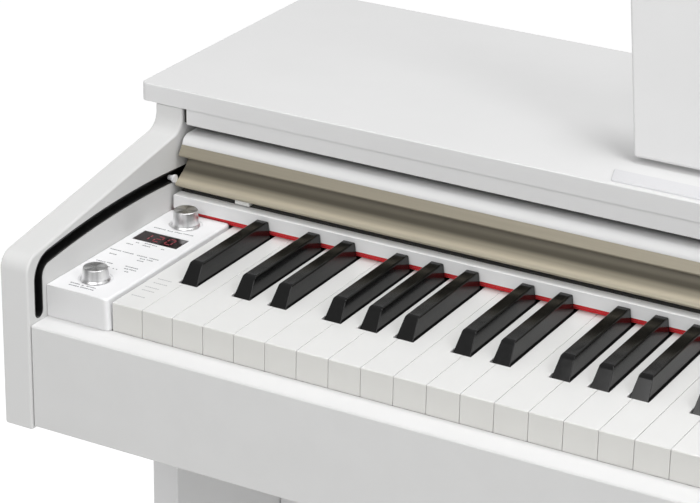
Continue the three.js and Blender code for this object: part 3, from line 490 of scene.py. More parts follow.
# The keys' second colour is painted shade on their front faces.
ivory = key_finish("white_key", (0.745, 0.745, 0.735), (0.64, 0.635, 0.61))
anodised_painted_shade = handle_finish("champagne_metal", (0.60, 0.542, 0.42))
spun = spun_metal("spun_aluminium", (0.80, 0.80, 0.81))
red_felt = felt_finish("red_felt", (0.60, 0.022, 0.028))
black_shade_felt = felt_finish("black_shade_felt", (0.022, 0.022, 0.02))
white_felt = felt_finish("white_felt", (0.70, 0.70, 0.68))
circuit = circuit_finish("solder_mask")
back_board = (
    Finish("white_faced_board", (0.60, 0.60, 0.585), 0.6)
    .tint(60, 0.03).grain(200, 0.55, 0.68).relief(900, 0.02, 0.2).material
)
ebony = (
    Finish("black_key", (0.004, 0.004, 0.004), 0.15, Specular_IOR_Level=0.42)
    .tint(80, 0.15).grain(220, 0.13, 0.18).relief(700, 0.0006, 0.05).material
)
track_black = (
    Finish("track_black", (0.008, 0.008, 0.008), 0.36)
    .tint(200, 0.2).grain(500, 0.32, 0.42).relief(1800, 0.006, 0.15).material
)
vinyl = (
    Finish("pad_vinyl", (0.64, 0.64, 0.655), 0.55)
    .tint(40, 0.01).grain(500, 0.5, 0.6).relief(1500, 0.006, 0.15).material
)
smoked = (
    Finish("smoked_acrylic", (0.010, 0.004, 0.005), 0.12, Specular_IOR_Level=0.3)
    .tint(120, 0.4).grain(400, 0.10, 0.15).material
)
zinc = (
    Finish("zinc_plate", (0.58, 0.58, 0.55), 0.38, Metallic=1.0)
    .tint(300, 0.12).grain(250, 0.3, 0.5).relief(1500, 0.01, 0.3).material
)
brass = (
    Finish("pedal_brass", (0.78, 0.56, 0.25), 0.18, Metallic=1.0)
    .tint(60, 0.05).grain(1200, 0.14, 0.24, stretch=(1, 0.05, 1))
    .relief(1800, 0.002, 0.15, stretch=(1, 0.05, 1)).material
)
rubber = (
    Finish("dark_rubber", (0.03, 0.03, 0.03), 0.85)
    .tint(300, 0.2).grain(600, 0.8, 0.92).relief(1200, 0.05, 0.5).material
)
paper = Finish("speaker_paper", (0.03, 0.03, 0.03), 0.9).tint(900, 0.3).relief(2200, 0.08, 0.7).material
print_grey = Finish("legend_grey", (0.16, 0.165, 0.18), 0.5).tint(3000, 0.15).material
print_pale = Finish("legend_pale", (0.45, 0.45, 0.46), 0.5).tint(3000, 0.08).material
digit_red = Finish("digit_red", (0.16, 0.02, 0.03), 0.4, Emission_Strength=0.10).tint(2000, 0.1).material
digit_red.node_tree.nodes["Principled BSDF"].inputs["Emission Color"].default_value = (0.9, 0.05, 0.08, 1)

# Keys ----

LETTERS = "ABCDEFG"
HEAD_LENGTH = 50
KEY_SEAM = 0.28
KEY_NOSE = 1.0
KEY_EASE = 0.35
BLACK_SHIFT = {"C": -2.2, "D": 2.2, "F": -3.3, "G": 0.0, "A": 3.3}
BLACK_BASE = 12.8
BLACK_TOP = 9.3
BLACK_SIDE_GAP = 1.1
STEM = 9.0
CAP_SLOPE = 10.5
CAP_BOTTOM = -1.9
CAP_NOSE_ROUNDING = 3.0
CAP_TOP_ROUNDING = 1.2
CAP_UPRIGHT_ROUNDING = 0.35
(_, _), (_, KEY_BACK), (KEY_BOTTOM, _) = extent("key_A0")
(_, _), (CAP_FRONT, _), (_, CAP_TOP) = extent("key_Asharp0")
CAP_BACK = extent("felt_strip")[1][0] - 1.6
HINGED = [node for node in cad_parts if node.startswith("key_") and node[len("key_")] in LETTERS]


def letter(index):
    return LETTERS[index % len(LETTERS)]


def key_name(index, sharp=False):
    """The CAD name of white key index, or of the black key after it; a new octave starts at each C."""
    octave = (index + 5) // len(LETTERS)
    return f"key_{letter(index)}{'sharp' if sharp else ''}{octave}"


def black_centre(index):
    """Middle of the black key after white key index, or None where there is none."""
    if index < 0 or index >= WHITE_KEYS - 1 or letter(index) not in BLACK_SHIFT:
        return None
    return (index + 1) * PITCH + BLACK_SHIFT[letter(index)]


def white_outline(index, back):
    """A white key from above, cut away beside the black keys."""
    left, right = index * PITCH + KEY_SEAM / 2, (index + 1) * PITCH - KEY_SEAM / 2
    clear = BLACK_BASE / 2 + BLACK_SIDE_GAP
    lower, upper = black_centre(index - 1), black_centre(index)
    points = [(left, 0), (right, 0)]
    if upper is None:
        points += [(right, back)]
    else:
        points += [(right, HEAD_LENGTH), (upper - clear, HEAD_LENGTH), (upper - clear, back)]
    if lower is None:
        points += [(left, back)]
    else:
        points += [(lower + clear, back), (lower + clear, HEAD_LENGTH), (left, HEAD_LENGTH)]
    return points


def white_key(index):
    """A moulded key: a round front edge, then eased round its top and down its front corners."""
    bm = prism(white_outline(index, KEY_BACK), "z", KEY_BOTTOM, 0)

    def front_corner(edge):
        drop = abs(edge.verts[0].co.z - edge.verts[1].co.z)
        return drop > 2 and both(edge, lambda v: v.y < 0.01)

    soften(bm, KEY_NOSE, 5, lambda e: both(e, lambda v: v.z > -0.01 and v.y < 0.01))
    soften(bm, KEY_EASE, 3, lambda e: above(-KEY_NOSE - 0.01)(e) or front_corner(e))
    return bm


def cap_rounding(edge):
    """How far each edge of a black key's cap is rounded: most along the top, least down the sides."""
    if below(0)(edge):
        return 0
    if not above(0)(edge):
        return CAP_UPRIGHT_ROUNDING
    return CAP_NOSE_ROUNDING if both(edge, lambda v: v.y < CAP_BACK - 1) else CAP_TOP_ROUNDING


def black_key(index):
    """A tapered cap with a sloping front on a plain stem."""
    x = black_centre(index)
    bm = prism([(x - BLACK_BASE / 2, CAP_FRONT), (x + BLACK_BASE / 2, CAP_FRONT),
                (x + BLACK_BASE / 2, CAP_BACK), (x - BLACK_BASE / 2, CAP_BACK)], "z", CAP_BOTTOM, CAP_TOP)
    for v in bm.verts:
        if v.co.z > 0:
            v.co.x = x + (v.co.x - x) * BLACK_TOP / BLACK_BASE
            if v.co.y < HEAD_LENGTH + 5:
                v.co.y += CAP_SLOPE
    bm = rounded(bm, CAP_NOSE_ROUNDING, cap_rounding)
    stem = box((x - STEM / 2, x + STEM / 2), (CAP_FRONT + 3, KEY_BACK), (KEY_BOTTOM, CAP_BOTTOM - 0.05))
    return merged(bm, stem)


def keyboard():
    """The hinged keys one by one, and the rest as one white and one black bank."""
    upper_white, upper_black = [], []
    for index in range(WHITE_KEYS):
        name = key_name(index)
        if name in HINGED:
            piece(name + "_moulded", white_key(index), ivory, name, name)
        else:
            upper_white.append(white_key(index))
        if black_centre(index) is None:
            continue
        name = key_name(index, sharp=True)
        if name in HINGED:
            piece(name + "_moulded", black_key(index), ebony, name, name)
        else:
            upper_black.append(black_key(index))
    for bank, solids, material in (("white_keys_upper", upper_white, ivory),
                                   ("black_keys_upper", upper_black, ebony)):
        piece(bank + "_moulded", merged(*solids), material, bank, bank)


# Cabinet ----

SIDE_SLOPE = 0.1684
SIDE_RADIUS = 12
SIDE_CORNER_Z = 27.04
GROOVE_GAP = 0.3
TRACK_FRONT_Y = -12.4
TRACK_END_Z = -13.7
TRACK_BEND = 14
ARCH_RADIUS = 773
ARCH_Y, ARCH_Z = 102, -744
ARCH_END_Y = 176
TRACK_HALF = 4.6
TRACK_WALL = 1.0


def side_outline(node):
    """A side board from its side: round front corner, slope, hollow, then the upright below the lid."""
    (_, _), (front, back), (bottom, top) = extent(node)
    slope = math.degrees(math.atan(SIDE_SLOPE))
    tangent = SIDE_RADIUS * math.tan(math.radians(90 - slope) / 2)
    stub = extent("top_sub_rail")[1][0]
    hollow_z = SIDE_CORNER_Z + (stub - front) * SIDE_SLOPE + tangent
    return (
        [(front, bottom), (back, bottom), (back, top), (stub, top)]
        + arc(stub - SIDE_RADIUS, hollow_z, SIDE_RADIUS, 0, slope - 90)
        + arc(front + SIDE_RADIUS, SIDE_CORNER_Z - tangent, SIDE_RADIUS, 90 + slope, 180)
    )


def track_outline(half):
    """A round-ended slot: upright at the front, a small bend, then a long shallow arch."""
    bend_y = TRACK_FRONT_Y + TRACK_BEND
    reach = ARCH_RADIUS - TRACK_BEND
    meet = math.degrees(math.acos((bend_y - ARCH_Y) / reach))
    bend_z = ARCH_Z + reach * math.sin(math.radians(meet))
    end = math.degrees(math.acos((ARCH_END_Y - ARCH_Y) / ARCH_RADIUS))
    end_z = ARCH_Z + ARCH_RADIUS * math.sin(math.radians(end))
    return (
        arc(bend_y, bend_z, TRACK_BEND + half, 180, meet, 16)
        + arc(ARCH_Y, ARCH_Z, ARCH_RADIUS + half, meet, end, 24)[1:]
        + arc(ARCH_END_Y, end_z, half, end, end - 180, 12)[1:]
        + arc(ARCH_Y, ARCH_Z, ARCH_RADIUS - half, end, meet, 24)[1:]
        + arc(bend_y, bend_z, TRACK_BEND - half, meet, 180, 16)[1:]
        + arc(TRACK_FRONT_Y, TRACK_END_Z, half, 0, -180, 12)
    )


def side_board(side):
    """A side board with the groove for its track let into the inner face."""
    node = f"side_panel_{side}"
    (x0, x1), _, _ = extent(node)
    (t0, t1), _, _ = extent(f"track_liner_{side}")
    groove = (t0 - GROOVE_GAP, x1 + 1) if side == "left" else (x0 - 1, t1 + GROOVE_GAP)
    solid = soften(prism(side_outline(node), "x", x0, x1), 1.8, 4)
    solid = carved(solid, prism(track_outline(TRACK_HALF + GROOVE_GAP), "x", *groove))
    piece(f"side_board_{side}", solid, side_lacquer_painted_shade, node=node)


def track_channel(side):
    """The black channel in the groove, open towards the keys."""
    node = f"track_liner_{side}"
    (x0, x1), _, _ = extent(node)
    inside = (x0 + TRACK_WALL, x1 + 1) if side == "left" else (x0 - 1, x1 - TRACK_WALL)
    lip = x1 if side == "left" else x0
    solid = carved(prism(track_outline(TRACK_HALF), "x", x0, x1),
                   prism(track_outline(TRACK_HALF - TRACK_WALL), "x", *inside))
    soften(solid, 0.3, 2, lambda e: both(e, lambda v: abs(v.x - lip) < 0.01))
    piece(f"track_channel_{side}", solid, track_black, node=node)


LID_CORNER = 5.5


def lid():
    """The lid board, with rounded corners and an eased upper edge."""
    x, y, z = extent("top_panel")
    left, right = x[0] + LID_CORNER, x[1] - LID_CORNER
    front, back = y[0] + LID_CORNER, y[1] - LID_CORNER
    plan = (
        arc(left, front, LID_CORNER, 180, 270, 12)
        + arc(right, front, LID_CORNER, 270, 360, 12)
        + arc(right, back, LID_CORNER, 0, 90, 12)
        + arc(left, back, LID_CORNER, 90, 180, 12)
    )
    solid = prism(plan, "z", *z)
    soften(solid, 1.0, 4, above(z[1] - 0.01))
    soften(solid, 0.25, 2, below(z[0] + 0.01))
    piece("lid", solid, lacquer, node="top_panel")


def round_fronted(x, y, z, radius, steps):
    """A long board whose upper front edge is rounded."""
    (front, back), (bottom, top) = y, z
    nose = arc(front + radius, top - radius, radius, 90, 180, steps)
    return prism([(back, bottom), (back, top), *nose, (front, bottom)], "x", *x)


REAR_RAIL_NOSE = 0.5
# Where the black strip that stands in for shade lies on the rail, measured from its front.
RAIL_SHADE_STRIP_FRONT, RAIL_SHADE_STRIP_BACK = 8.5, 24


def rear_rail():
    """The rail over the backs of the keys, with a black felt strip on top of it under the cover's edge that
    darkens the shade there.
    """
    x, y, z = extent("key_rear_rail")
    rail = soften(round_fronted(x, y, z, REAR_RAIL_NOSE, 8), 0.2, 2)
    piece("rear_rail", rail, lacquer_painted_light, node="key_rear_rail")
    # Black strip standing in for the shade under the handle.
    depth = (y[0] + RAIL_SHADE_STRIP_FRONT, y[0] + RAIL_SHADE_STRIP_BACK)
    strip = box((x[0] + 1, x[1] - 1), depth, (z[1] + 0.02, z[1] + 1.2))
    piece("rail_shade_strip", soften(strip, 0.4, 2), black_shade_felt)


FELT_STEPS = 600
FELT_EDGE = 0.5
FELT_LAYER = 2.0
FELT_SETBACK = 1.1


def felt_layer(x, y, z, seed):
    """A pressed felt strip with soft edges, whose front edge wanders a little."""
    (front, back), (bottom, top) = y, z
    bevel = FELT_EDGE * 0.6
    section = [(back, bottom), (front + FELT_EDGE, bottom), (front + 0.1, bottom + bevel),
               (front + 0.1, top - bevel), (front + FELT_EDGE, top), (back, top)]
    bm = bmesh.new()
    rings = []
    for i in range(FELT_STEPS + 1):
        place = x[0] + (x[1] - x[0]) * i / FELT_STEPS
        slow = noise.noise(Vector((place * 0.21, seed, 0)))
        quick = noise.noise(Vector((place * 0.9, seed + 4.6, 0)))
        wander = 0.2 + 0.16 * (slow + 0.5 * quick)
        shifted = [(place, b + (wander if b < front + 2 else 0), c) for b, c in section]
        rings.append([bm.verts.new(point) for point in shifted])
    return lofted(bm, rings)


def felt():
    """Two layers of red felt under the rear rail; the lower one is set back."""
    x, (front, back), (bottom, top) = extent("felt_strip")
    split = top - FELT_LAYER
    upper = felt_layer(x, (front, back), (split, top), seed=3.1)
    lower = felt_layer(x, (front + FELT_SETBACK, back), (bottom, split - 0.05), seed=8.3)
    piece("key_felt", merged(upper, lower), red_felt, node="felt_strip")


SUB_RAIL_LIFT = 0.28
# How far the black felt that stands in for shade hangs, and where it lies measured from the rail's back.
SHADE_FELT_DROP = 4.4
SHADE_FELT_FRONT, SHADE_FELT_BACK = 11.5, 6


def sub_rail():
    """The rail close up under the lid's front edge, with black felt hung below it and stuffed in at its
    ends to darken the shade in those gaps.
    """
    x, (front, back), (bottom, top) = extent("top_sub_rail")
    rail = box(x, (front, back), (bottom, top + SUB_RAIL_LIFT))
    soften(rail, 0.7, 3, below(bottom + 0.01))
    piece("sub_rail", rail, lacquer, node="top_sub_rail")
    # Black felt standing in for the shade in the slot under the rail and in the gaps at its ends.
    strip = box((x[0] + 1, x[1] - 1), (back - SHADE_FELT_FRONT, back - SHADE_FELT_BACK),
                (bottom - SHADE_FELT_DROP, bottom - 0.03))
    soften(strip, 0.6, 2)
    inner, outer = x[0] - 0.1, extent("side_panel_left")[0][1] + 0.1
    ends = []
    for gap in ((outer, inner), (mirrored(inner), mirrored(outer))):
        ends.append(soften(box(gap, (front + 3, back - 1), (bottom + 0.2, top)), 0.4, 2))
    piece("sub_rail_shade_felt", merged(strip, *ends), black_shade_felt)


RAIL_LAP = 0.35


def front_rail():
    """The long rail under the key fronts: eased in front, crisp behind where the keys almost meet it."""
    x, (front, back), z = extent("front_rail")
    back += RAIL_LAP
    solid = box(x, (front, back), z)
    soften(solid, 1.3, 4, lambda e: both(e, lambda v: v.y < back - 1))
    soften(solid, 0.3, 2, lambda e: both(e, lambda v: v.y > back - 0.01))
    piece("front_rail_board", solid, lacquer_painted_light, node="front_rail")


def cabinet():
    for side in ("left", "right"):
        side_board(side)
        track_channel(side)
    lid()
    rear_rail()
    felt()
    sub_rail()
    front_rail()


# Key cover ----

COVER_NOSE = 7
HANDLE_GAP = 0.3
# The handle's rounded corners, as y, z and radius, and between them its section under the brow, round the
# hollow and down the slope to the nose.
HANDLE_BROW = (156.9, 42.8, 1.2)
HANDLE_COVE = [
    (160.6, 41.25), (164.5, 40.6), (165.7, 40.1), (166.6, 39.3), (167.15, 38.3), (167.4, 37.3),
    (167.4, 36.3), (167.2, 35.4), (166.7, 34.3), (166, 33.2), (165.15, 32.1), (164.2, 31.2),
]
HANDLE_SLOPE = [(161.6, 29.2), (158, 27), (154.6, 25)]
HANDLE_NOSE = (152.6, 21.9, 1.3)
HANDLE_FOOT_Y = 152.8


def cover_panel():
    """The white board of the key cover, round in front."""
    solid = soften(round_fronted(*extent("fallboard_panel"), COVER_NOSE, 12), 0.7, 3)
    piece("key_cover_board", solid, lacquer_painted_light, "fallboard", "fallboard_panel")


def cover_handle():
    """The metal edge: a square brow, a hollowed finger pull and a round nose."""
    x, (_, back), (bottom, top) = extent("fallboard_handle")
    _, (panel_front, _), (panel_bottom, _) = extent("fallboard_panel")
    seat, under = panel_front - HANDLE_GAP, panel_bottom - HANDLE_GAP
    brow = [(back, under), (seat, under), (seat, top)] + arc(*HANDLE_BROW, 125, 255, 8)
    nose = arc(*HANDLE_NOSE, 130, 235, 6)
    outline = brow + HANDLE_COVE + HANDLE_SLOPE + nose + [(HANDLE_FOOT_Y, bottom), (back, bottom)]
    solid = soften(prism(outline, "x", *x), 0.2, 2)
    piece("key_cover_handle", solid, anodised_painted_shade, "fallboard", "fallboard_handle")


PIN_COLLAR = 1.7
PIN_END_RADIUS = 2.0
PIN_REACH = 0.25


def cover_pin(side):
    """A turned nylon pin: a collar against the handle's end, then a tapered end in the track."""
    node = f"fallboard_pin_{side}"
    (x0, x1), (y0, y1), (z0, z1) = extent(node)
    radius = (y1 - y0) / 2
    length = x1 - x0 + PIN_REACH
    profile = [(0, 0), (radius, 0), (radius, PIN_COLLAR), (radius * 0.95, 2.05), (PIN_END_RADIUS, 2.4)]
    profile += [(PIN_END_RADIUS * 0.92, length - 0.9), (PIN_END_RADIUS * 0.7, length - 0.25),
                (PIN_END_RADIUS * 0.4, length), (0, length)]
    bm = turned(profile, 0, 0, 48)
    towards = -1 if side == "left" else 1
    root = x1 + PIN_REACH if side == "left" else x0 - PIN_REACH
    place = Matrix.Translation((root, (y0 + y1) / 2, (z0 + z1) / 2))
    bm.transform(place @ Matrix.Rotation(towards * math.pi / 2, 4, "Y"))
    piece(f"key_cover_pin_{side}", bm, moulded, "fallboard_pins", node)


BUMPER_WIDTH = 12
BUMPER_HEIGHT = 3.6


def cover_bumpers():
    """Felt stops under the handle, near its two ends."""
    _, (nose, _), (bottom, _) = extent("fallboard_handle")
    depth = (nose + 2.6, nose + 12)
    for name, x0 in (("left", 0), ("right", WIDTH - BUMPER_WIDTH)):
        solid = box((x0, x0 + BUMPER_WIDTH), depth, (bottom - BUMPER_HEIGHT, bottom - 0.02))
        piece(f"key_cover_bumper_{name}", soften(solid, 0.7, 3), white_felt, "fallboard")


def key_cover():
    cover_panel()
    cover_handle()
    cover_bumpers()
    for side in ("left", "right"):
        cover_pin(side)


# Controls ----

BLOCK_DRAFT = 1.3
BLOCK_CORNER = 4.0
BLOCK_WALL = 2.5
KNOB_DISH_RADIUS = 12.0
KNOB_DISH_DEPTH = 1.0
KNOB_DISH_SLOPE = 2.6
KNOB_HOLE_RADIUS = 3.5
CUT_DEPTH = 6
CUT_GAP = 0.3
KNOB_SPREAD = 1.7
KNOB_SHAFT_RADIUS = 3
KNOB_EDGE = 0.7


def block_solid(node, treble):
    """An end block's outside, the cutter for its inside, and the height of its top."""
    (x0, x1), y, (bottom, top) = extent(node)
    wall, key = (x1, x0) if treble else (x0, x1)
    inward = 1 if treble else -1
    shoulder = key + inward * BLOCK_DRAFT
    outline = [(wall, bottom), (key, bottom), (shoulder, top), (wall, top)]
    solid = prism(outline, "y", *y)

    def key_side(edge):
        return both(edge, lambda v: abs(v.x - wall) > 20)

    def in_front(edge):
        return both(edge, lambda v: v.y < y[0] + 0.01)

    on_top = above(top - 0.01)
    soften(solid, BLOCK_CORNER, 8, lambda e: key_side(e) and in_front(e))
    soften(solid, 1.8, 6, lambda e: key_side(e) and on_top(e))
    soften(solid, 0.9, 3, lambda e: in_front(e) and on_top(e))
    width = sorted((wall - inward * BLOCK_WALL, key + inward * (BLOCK_DRAFT + 3)))
    hollow = box(width, (y[0] + BLOCK_WALL, y[1] - BLOCK_WALL), (bottom - 1, top - BLOCK_WALL))
    return solid, hollow, top


def dish(x, y, top):
    """The cutter for a knob's shallow dished ring and shaft hole."""
    radius, depth = KNOB_DISH_RADIUS, KNOB_DISH_DEPTH
    flat = radius - KNOB_DISH_SLOPE
    hole = KNOB_HOLE_RADIUS
    profile = [(0, top - CUT_DEPTH), (hole, top - CUT_DEPTH), (hole, top - depth), (flat, top - depth)]
    for angle in range(15, 91, 15):
        t = math.radians(angle)
        profile.append((flat + KNOB_DISH_SLOPE * math.sin(t), top - depth * math.cos(t)))
    return turned(profile + [(radius + 0.8, top + 1), (0, top + 1)], x, y, 96)


def control_block():
    """The bass-side block, with dishes for its knobs and an opening for the display."""
    solid, hollow, top = block_solid("control_panel", treble=False)
    (x0, x1), (y0, y1), _ = extent("display_window")
    window = box((x0 - CUT_GAP, x1 + CUT_GAP), (y0 - CUT_GAP, y1 + CUT_GAP), (top - CUT_DEPTH, top + 1))
    dishes = [dish(*centre(node)[:2], top) for node in ("volume_knob", "select_knob")]
    solid = carved(solid, hollow, window, *dishes)
    piece("control_block", solid, moulded, node="control_panel")


def end_block():
    """The treble-side block, with a round hole for the power button."""
    solid, hollow, top = block_solid("end_block", treble=True)
    (x0, x1), _, _ = extent("power_button")
    x, y, _ = centre("power_button")
    radius = (x1 - x0) / 2 + 0.5
    hole = [(0, top - CUT_DEPTH), (radius, top - CUT_DEPTH), (radius, top + 1), (0, top + 1)]
    solid = carved(solid, hollow, turned(hole, x, y, 64))
    piece("treble_block", solid, moulded, node="end_block")


DIGITS = "120"
DIGIT_STEP = 9.6
DIGIT_MARGIN_X, DIGIT_MARGIN_Y = 4.6, 3.6
DIGIT_WIDTH, DIGIT_HEIGHT, DIGIT_STROKE = 5.0, 9.0, 1.1
DIGIT_THICKNESS = 0.05
SEGMENTS = {"0": "abcdef", "1": "bc", "2": "abdeg"}
# Each bar's column, its row from the middle of the figure, and whether it lies level.
SEGMENT_PLACES = {
    "a": (0, 1, True), "b": (1, 1, False), "c": (1, 0, False), "d": (0, -1, True),
    "e": (0, 0, False), "f": (0, 1, False), "g": (0, 0, True),
}


def seven_segment(figure, x, y, z):
    """A figure of thin bars, as on a clock: a is the top bar, g the middle one."""
    half = DIGIT_HEIGHT / 2
    depth = (z, z + DIGIT_THICKNESS)
    solids = []
    for name in SEGMENTS[figure]:
        column, row, level = SEGMENT_PLACES[name]
        if level:
            low = y + half + row * half - DIGIT_STROKE / 2
            solids.append(box((x + 0.6, x + DIGIT_WIDTH - 0.6), (low, low + DIGIT_STROKE), depth))
        else:
            left, low = x + column * DIGIT_WIDTH - DIGIT_STROKE / 2, y + row * half + 0.7
            solids.append(box((left, left + DIGIT_STROKE), (low, low + half - 1.4), depth))
    return merged(*solids)


def display():
    """The dark window, with red figures lying on it."""
    x, y, z = extent("display_window")
    lens = soften(box(x, y, z), 0.25, 2)
    piece("display_lens", lens, smoked, node="display_window")
    digits = []
    for i, figure in enumerate(DIGITS):
        left = x[0] + DIGIT_MARGIN_X + DIGIT_STEP * i
        digits.append(seven_segment(figure, left, y[0] + DIGIT_MARGIN_Y, z[1] + 0.02))
    piece("display_digits", merged(*digits), digit_red)


def knob(node):
    """A turned knob: a spread foot, slightly tapered sides, a rolled top edge and a shallow face."""
    (x0, x1), _, (bottom, top) = extent(node)
    x, y, _ = centre(node)
    foot_radius = (x1 - x0) / 2
    radius = foot_radius - KNOB_SPREAD
    base = extent("control_panel")[2][1] - KNOB_DISH_DEPTH + 0.3
    shaft = KNOB_SHAFT_RADIUS
    edge = KNOB_EDGE
    profile = [(0, bottom), (shaft, bottom), (shaft, base), (foot_radius - 0.3, base)]
    profile += [(foot_radius, base + 0.3), (foot_radius, base + 0.7)]
    profile += [(foot_radius - 0.7, base + 1.7), (foot_radius - 1.0, base + 2.6)]
    profile += arc(radius - edge, top - edge, edge, 0, 90, 5)
    profile += [(radius - 1.2, top - 0.15), (radius - 1.5, top - 0.15), (0, top - 0.15)]
    piece(node + "_turned", turned(profile, x, y), spun, node, node)


BUTTON_EDGE = 0.8


def power_button():
    """A round cap with a rolled edge and a slightly hollow top."""
    (x0, x1), _, (bottom, top) = extent("power_button")
    x, y, _ = centre("power_button")
    radius = (x1 - x0) / 2
    edge = arc(radius - BUTTON_EDGE, top - BUTTON_EDGE, BUTTON_EDGE, 0, 90, 6)
    profile = [(0, bottom), (radius, bottom), *edge, (radius - 3, top - 0.35), (0, top - 0.45)]
    cap = turned(profile, x, y, 64)
    piece("power_button_cap", cap, moulded, "power_button", "power_button")


# Short bars that stand for printed labels: first x, last x and y of each bar, row by row from the front.
LEGENDS = [
    (-37.8, -29.6, 4.6), (-28.8, -18.0, 4.9), (-38.9, -31.1, 8.1), (-29.5, -27.9, 7.7),
    (-26.0, -18.4, 8.2), (-32.7, -30.5, 42.5), (-27.8, -26.5, 41.7), (-25.2, -23.7, 41.7),
    (-18.5, -14.9, 41.8), (-21.2, -17.6, 45.8), (-17.1, -11.4, 46.0), (-45.4, -37.4, 47.8),
    (-36.8, -32.0, 48.2), (-22.5, -12.2, 49.5),
    (-44.3, -38.3, 62.2), (-21.2, -15.9, 61.7), (-21.2, -16.9, 65.3), (-16.2, -11.0, 65.9),
    (-48.1, -39.0, 69.0), (-38.1, -28.8, 69.1), (-26.1, -17.7, 68.9), (-16.2, -8.5, 69.3),
    (-43.9, -38.3, 82.5), (-32.4, -25.9, 85.3), (-17.7, -14.9, 86.2), (-39.2, -36.2, 87.2),
    (-32.9, -27.3, 89.0), (-26.7, -22.5, 88.7),
    (-43.2, -33.3, 116.2), (-31.8, -27.1, 116.1), (-26.3, -19.8, 116.6), (-19.5, -11.1, 117.3),
]
KEY_LEGENDS = [
    (4.0, 14.6, 17.3), (5.2, 15.1, 27.8), (4.3, 15.3, 33.4), (5.6, 16.7, 41.3), (4.7, 15.9, 48.2),
]
LEGEND_HEIGHT = 1.2
LEGEND_LETTER = 1.5
LEGEND_SPACE = 0.35
LEGEND_THICKNESS = 0.04


def bars(rows, z):
    """Each bar is broken into small upright strokes, so that it reads as a word and not as a line."""
    solids = []
    for first, last, y in rows:
        count = max(1, round((last - first) / LEGEND_LETTER))
        step = (last - first) / count
        for i in range(count):
            left = first + i * step
            rise = LEGEND_HEIGHT * (0.72 + 0.28 * ((i * 7 + round(y)) % 3) / 2)
            solids.append(box((left, left + step - LEGEND_SPACE), (y - rise / 2, y + rise / 2),
                              (z, z + LEGEND_THICKNESS)))
    return merged(*solids)


def controls():
    control_block()
    end_block()
    display()
    for node in ("volume_knob", "select_knob"):
        knob(node)
    power_button()
    top = extent("control_panel")[2][1]
    piece("control_legends", bars(LEGENDS, top + 0.01), print_grey)
    piece("key_legends", bars(KEY_LEGENDS, 0.01), print_pale, "key_A0")


# Music rest ----

REST_LEAN = 12
REST_FLARE = 9.7
REST_THICKNESS = 12
REST_CORNER = 14
REST_NOTCH = 40
REST_NOTCH_TOP = 10
REST_OVERHANG = 1


def music_rest():
    """A flared board, eased all round, with two notches for its hinge brackets."""
    middle, pivot_y, pivot_z = centre("music_rest_rod")
    rod_start, rod_end = extent("music_rest_rod")[0]
    half = (rod_end - rod_start) / 2 + REST_OVERHANG
    lean = math.radians(REST_LEAN)
    deep = REST_THICKNESS / 2
    rise = (extent("music_rest")[2][1] - pivot_z - deep * math.sin(lean)) / math.cos(lean)
    top_half = half + (rise + deep) * math.tan(math.radians(REST_FLARE))
    corner = arc(top_half - REST_CORNER, rise - REST_CORNER, REST_CORNER, REST_FLARE, 90, 10)
    mirror_corner = [(-a, b) for a, b in corner[::-1]]
    slab = prism([(-half, -deep), (half, -deep)] + corner + mirror_corner, "y", -deep, deep)
    soften(slab, 2.2, 4)
    offset = centre("music_rest_bracket_right")[0] - middle
    notches = []
    for x in (-offset, offset):
        width = (x - REST_NOTCH / 2, x + REST_NOTCH / 2)
        notches.append(box(width, (-9, 9), (-9, REST_NOTCH_TOP)))
    slab = carved(slab, *notches)
    slab.transform(Matrix.Translation((middle, pivot_y, pivot_z)) @ Matrix.Rotation(-lean, 4, "X"))
    piece("music_rest_board", slab, lacquer, "music_rest", "music_rest")


REST_PAD_SPLAY = 6.1
REST_PAD_SINK = 0.25


def rest_ledge():
    """The pad on the lid in front of the rest: thin, soft-edged, a little wider at its back."""
    x, y, z = extent("music_rest_ledge")
    outline = [(x[0] + REST_PAD_SPLAY, y[0]), (x[1] - REST_PAD_SPLAY, y[0]), (x[1], y[1]), (x[0], y[1])]
    solid = prism(outline, "z", z[0] - REST_PAD_SINK, z[1])
    soften(solid, 1.5, 4, lambda e: abs(e.verts[0].co.z - e.verts[1].co.z) > 0.5)
    soften(solid, 0.7, 3, above(z[1] - 0.01))
    piece("rest_pad", solid, vinyl, node="music_rest_ledge")


# Stand ----

FOOT_NOSE = 22
BEAM_WALL = 12
SLOT_HALF = 16
SLOT_BELOW, SLOT_ABOVE = 20, 8
PEDALS = ("pedal_soft", "pedal_sostenuto", "pedal_sustain")
PEDAL_SHANK = 9.0
PEDAL_TOE_STRAIGHT = 18
PEDAL_TAPER = 42
PEDAL_TIP_ROUNDING = 9
PEDAL_STATIONS = 44
PEDAL_SIDES = 20


def board(node, radius):
    """A lacquered board the size of its CAD node, with its edges eased."""
    piece(node + "_board", soften(box(*extent(node)), radius), lacquer, node=node)


def foot(side):
    """A runner along the floor, round at the front."""
    node = f"foot_{side}"
    solid = soften(round_fronted(*extent(node), FOOT_NOSE, 14), 1.8, 4)
    piece(node + "_board", solid, lacquer, node=node)


def pedal_box():
    """The beam between the legs, hollow behind, with a slot for each pedal."""
    x, y, z = extent("pedal_box")
    solid = soften(box(x, y, z), 1.5, 3)
    hollow = box((x[0] + BEAM_WALL, x[1] - BEAM_WALL), (y[0] + BEAM_WALL, y[1] + 1),
                 (z[0] + BEAM_WALL, z[1] - BEAM_WALL))
    slots = []
    for node in PEDALS:
        middle, _, level = centre(node)
        slots.append(box((middle - SLOT_HALF, middle + SLOT_HALF), (y[0] - 1, y[0] + BEAM_WALL + 1),
                         (level - SLOT_BELOW, level + SLOT_ABOVE)))
    piece("pedal_beam", carved(solid, hollow, *slots), lacquer, node="pedal_box")


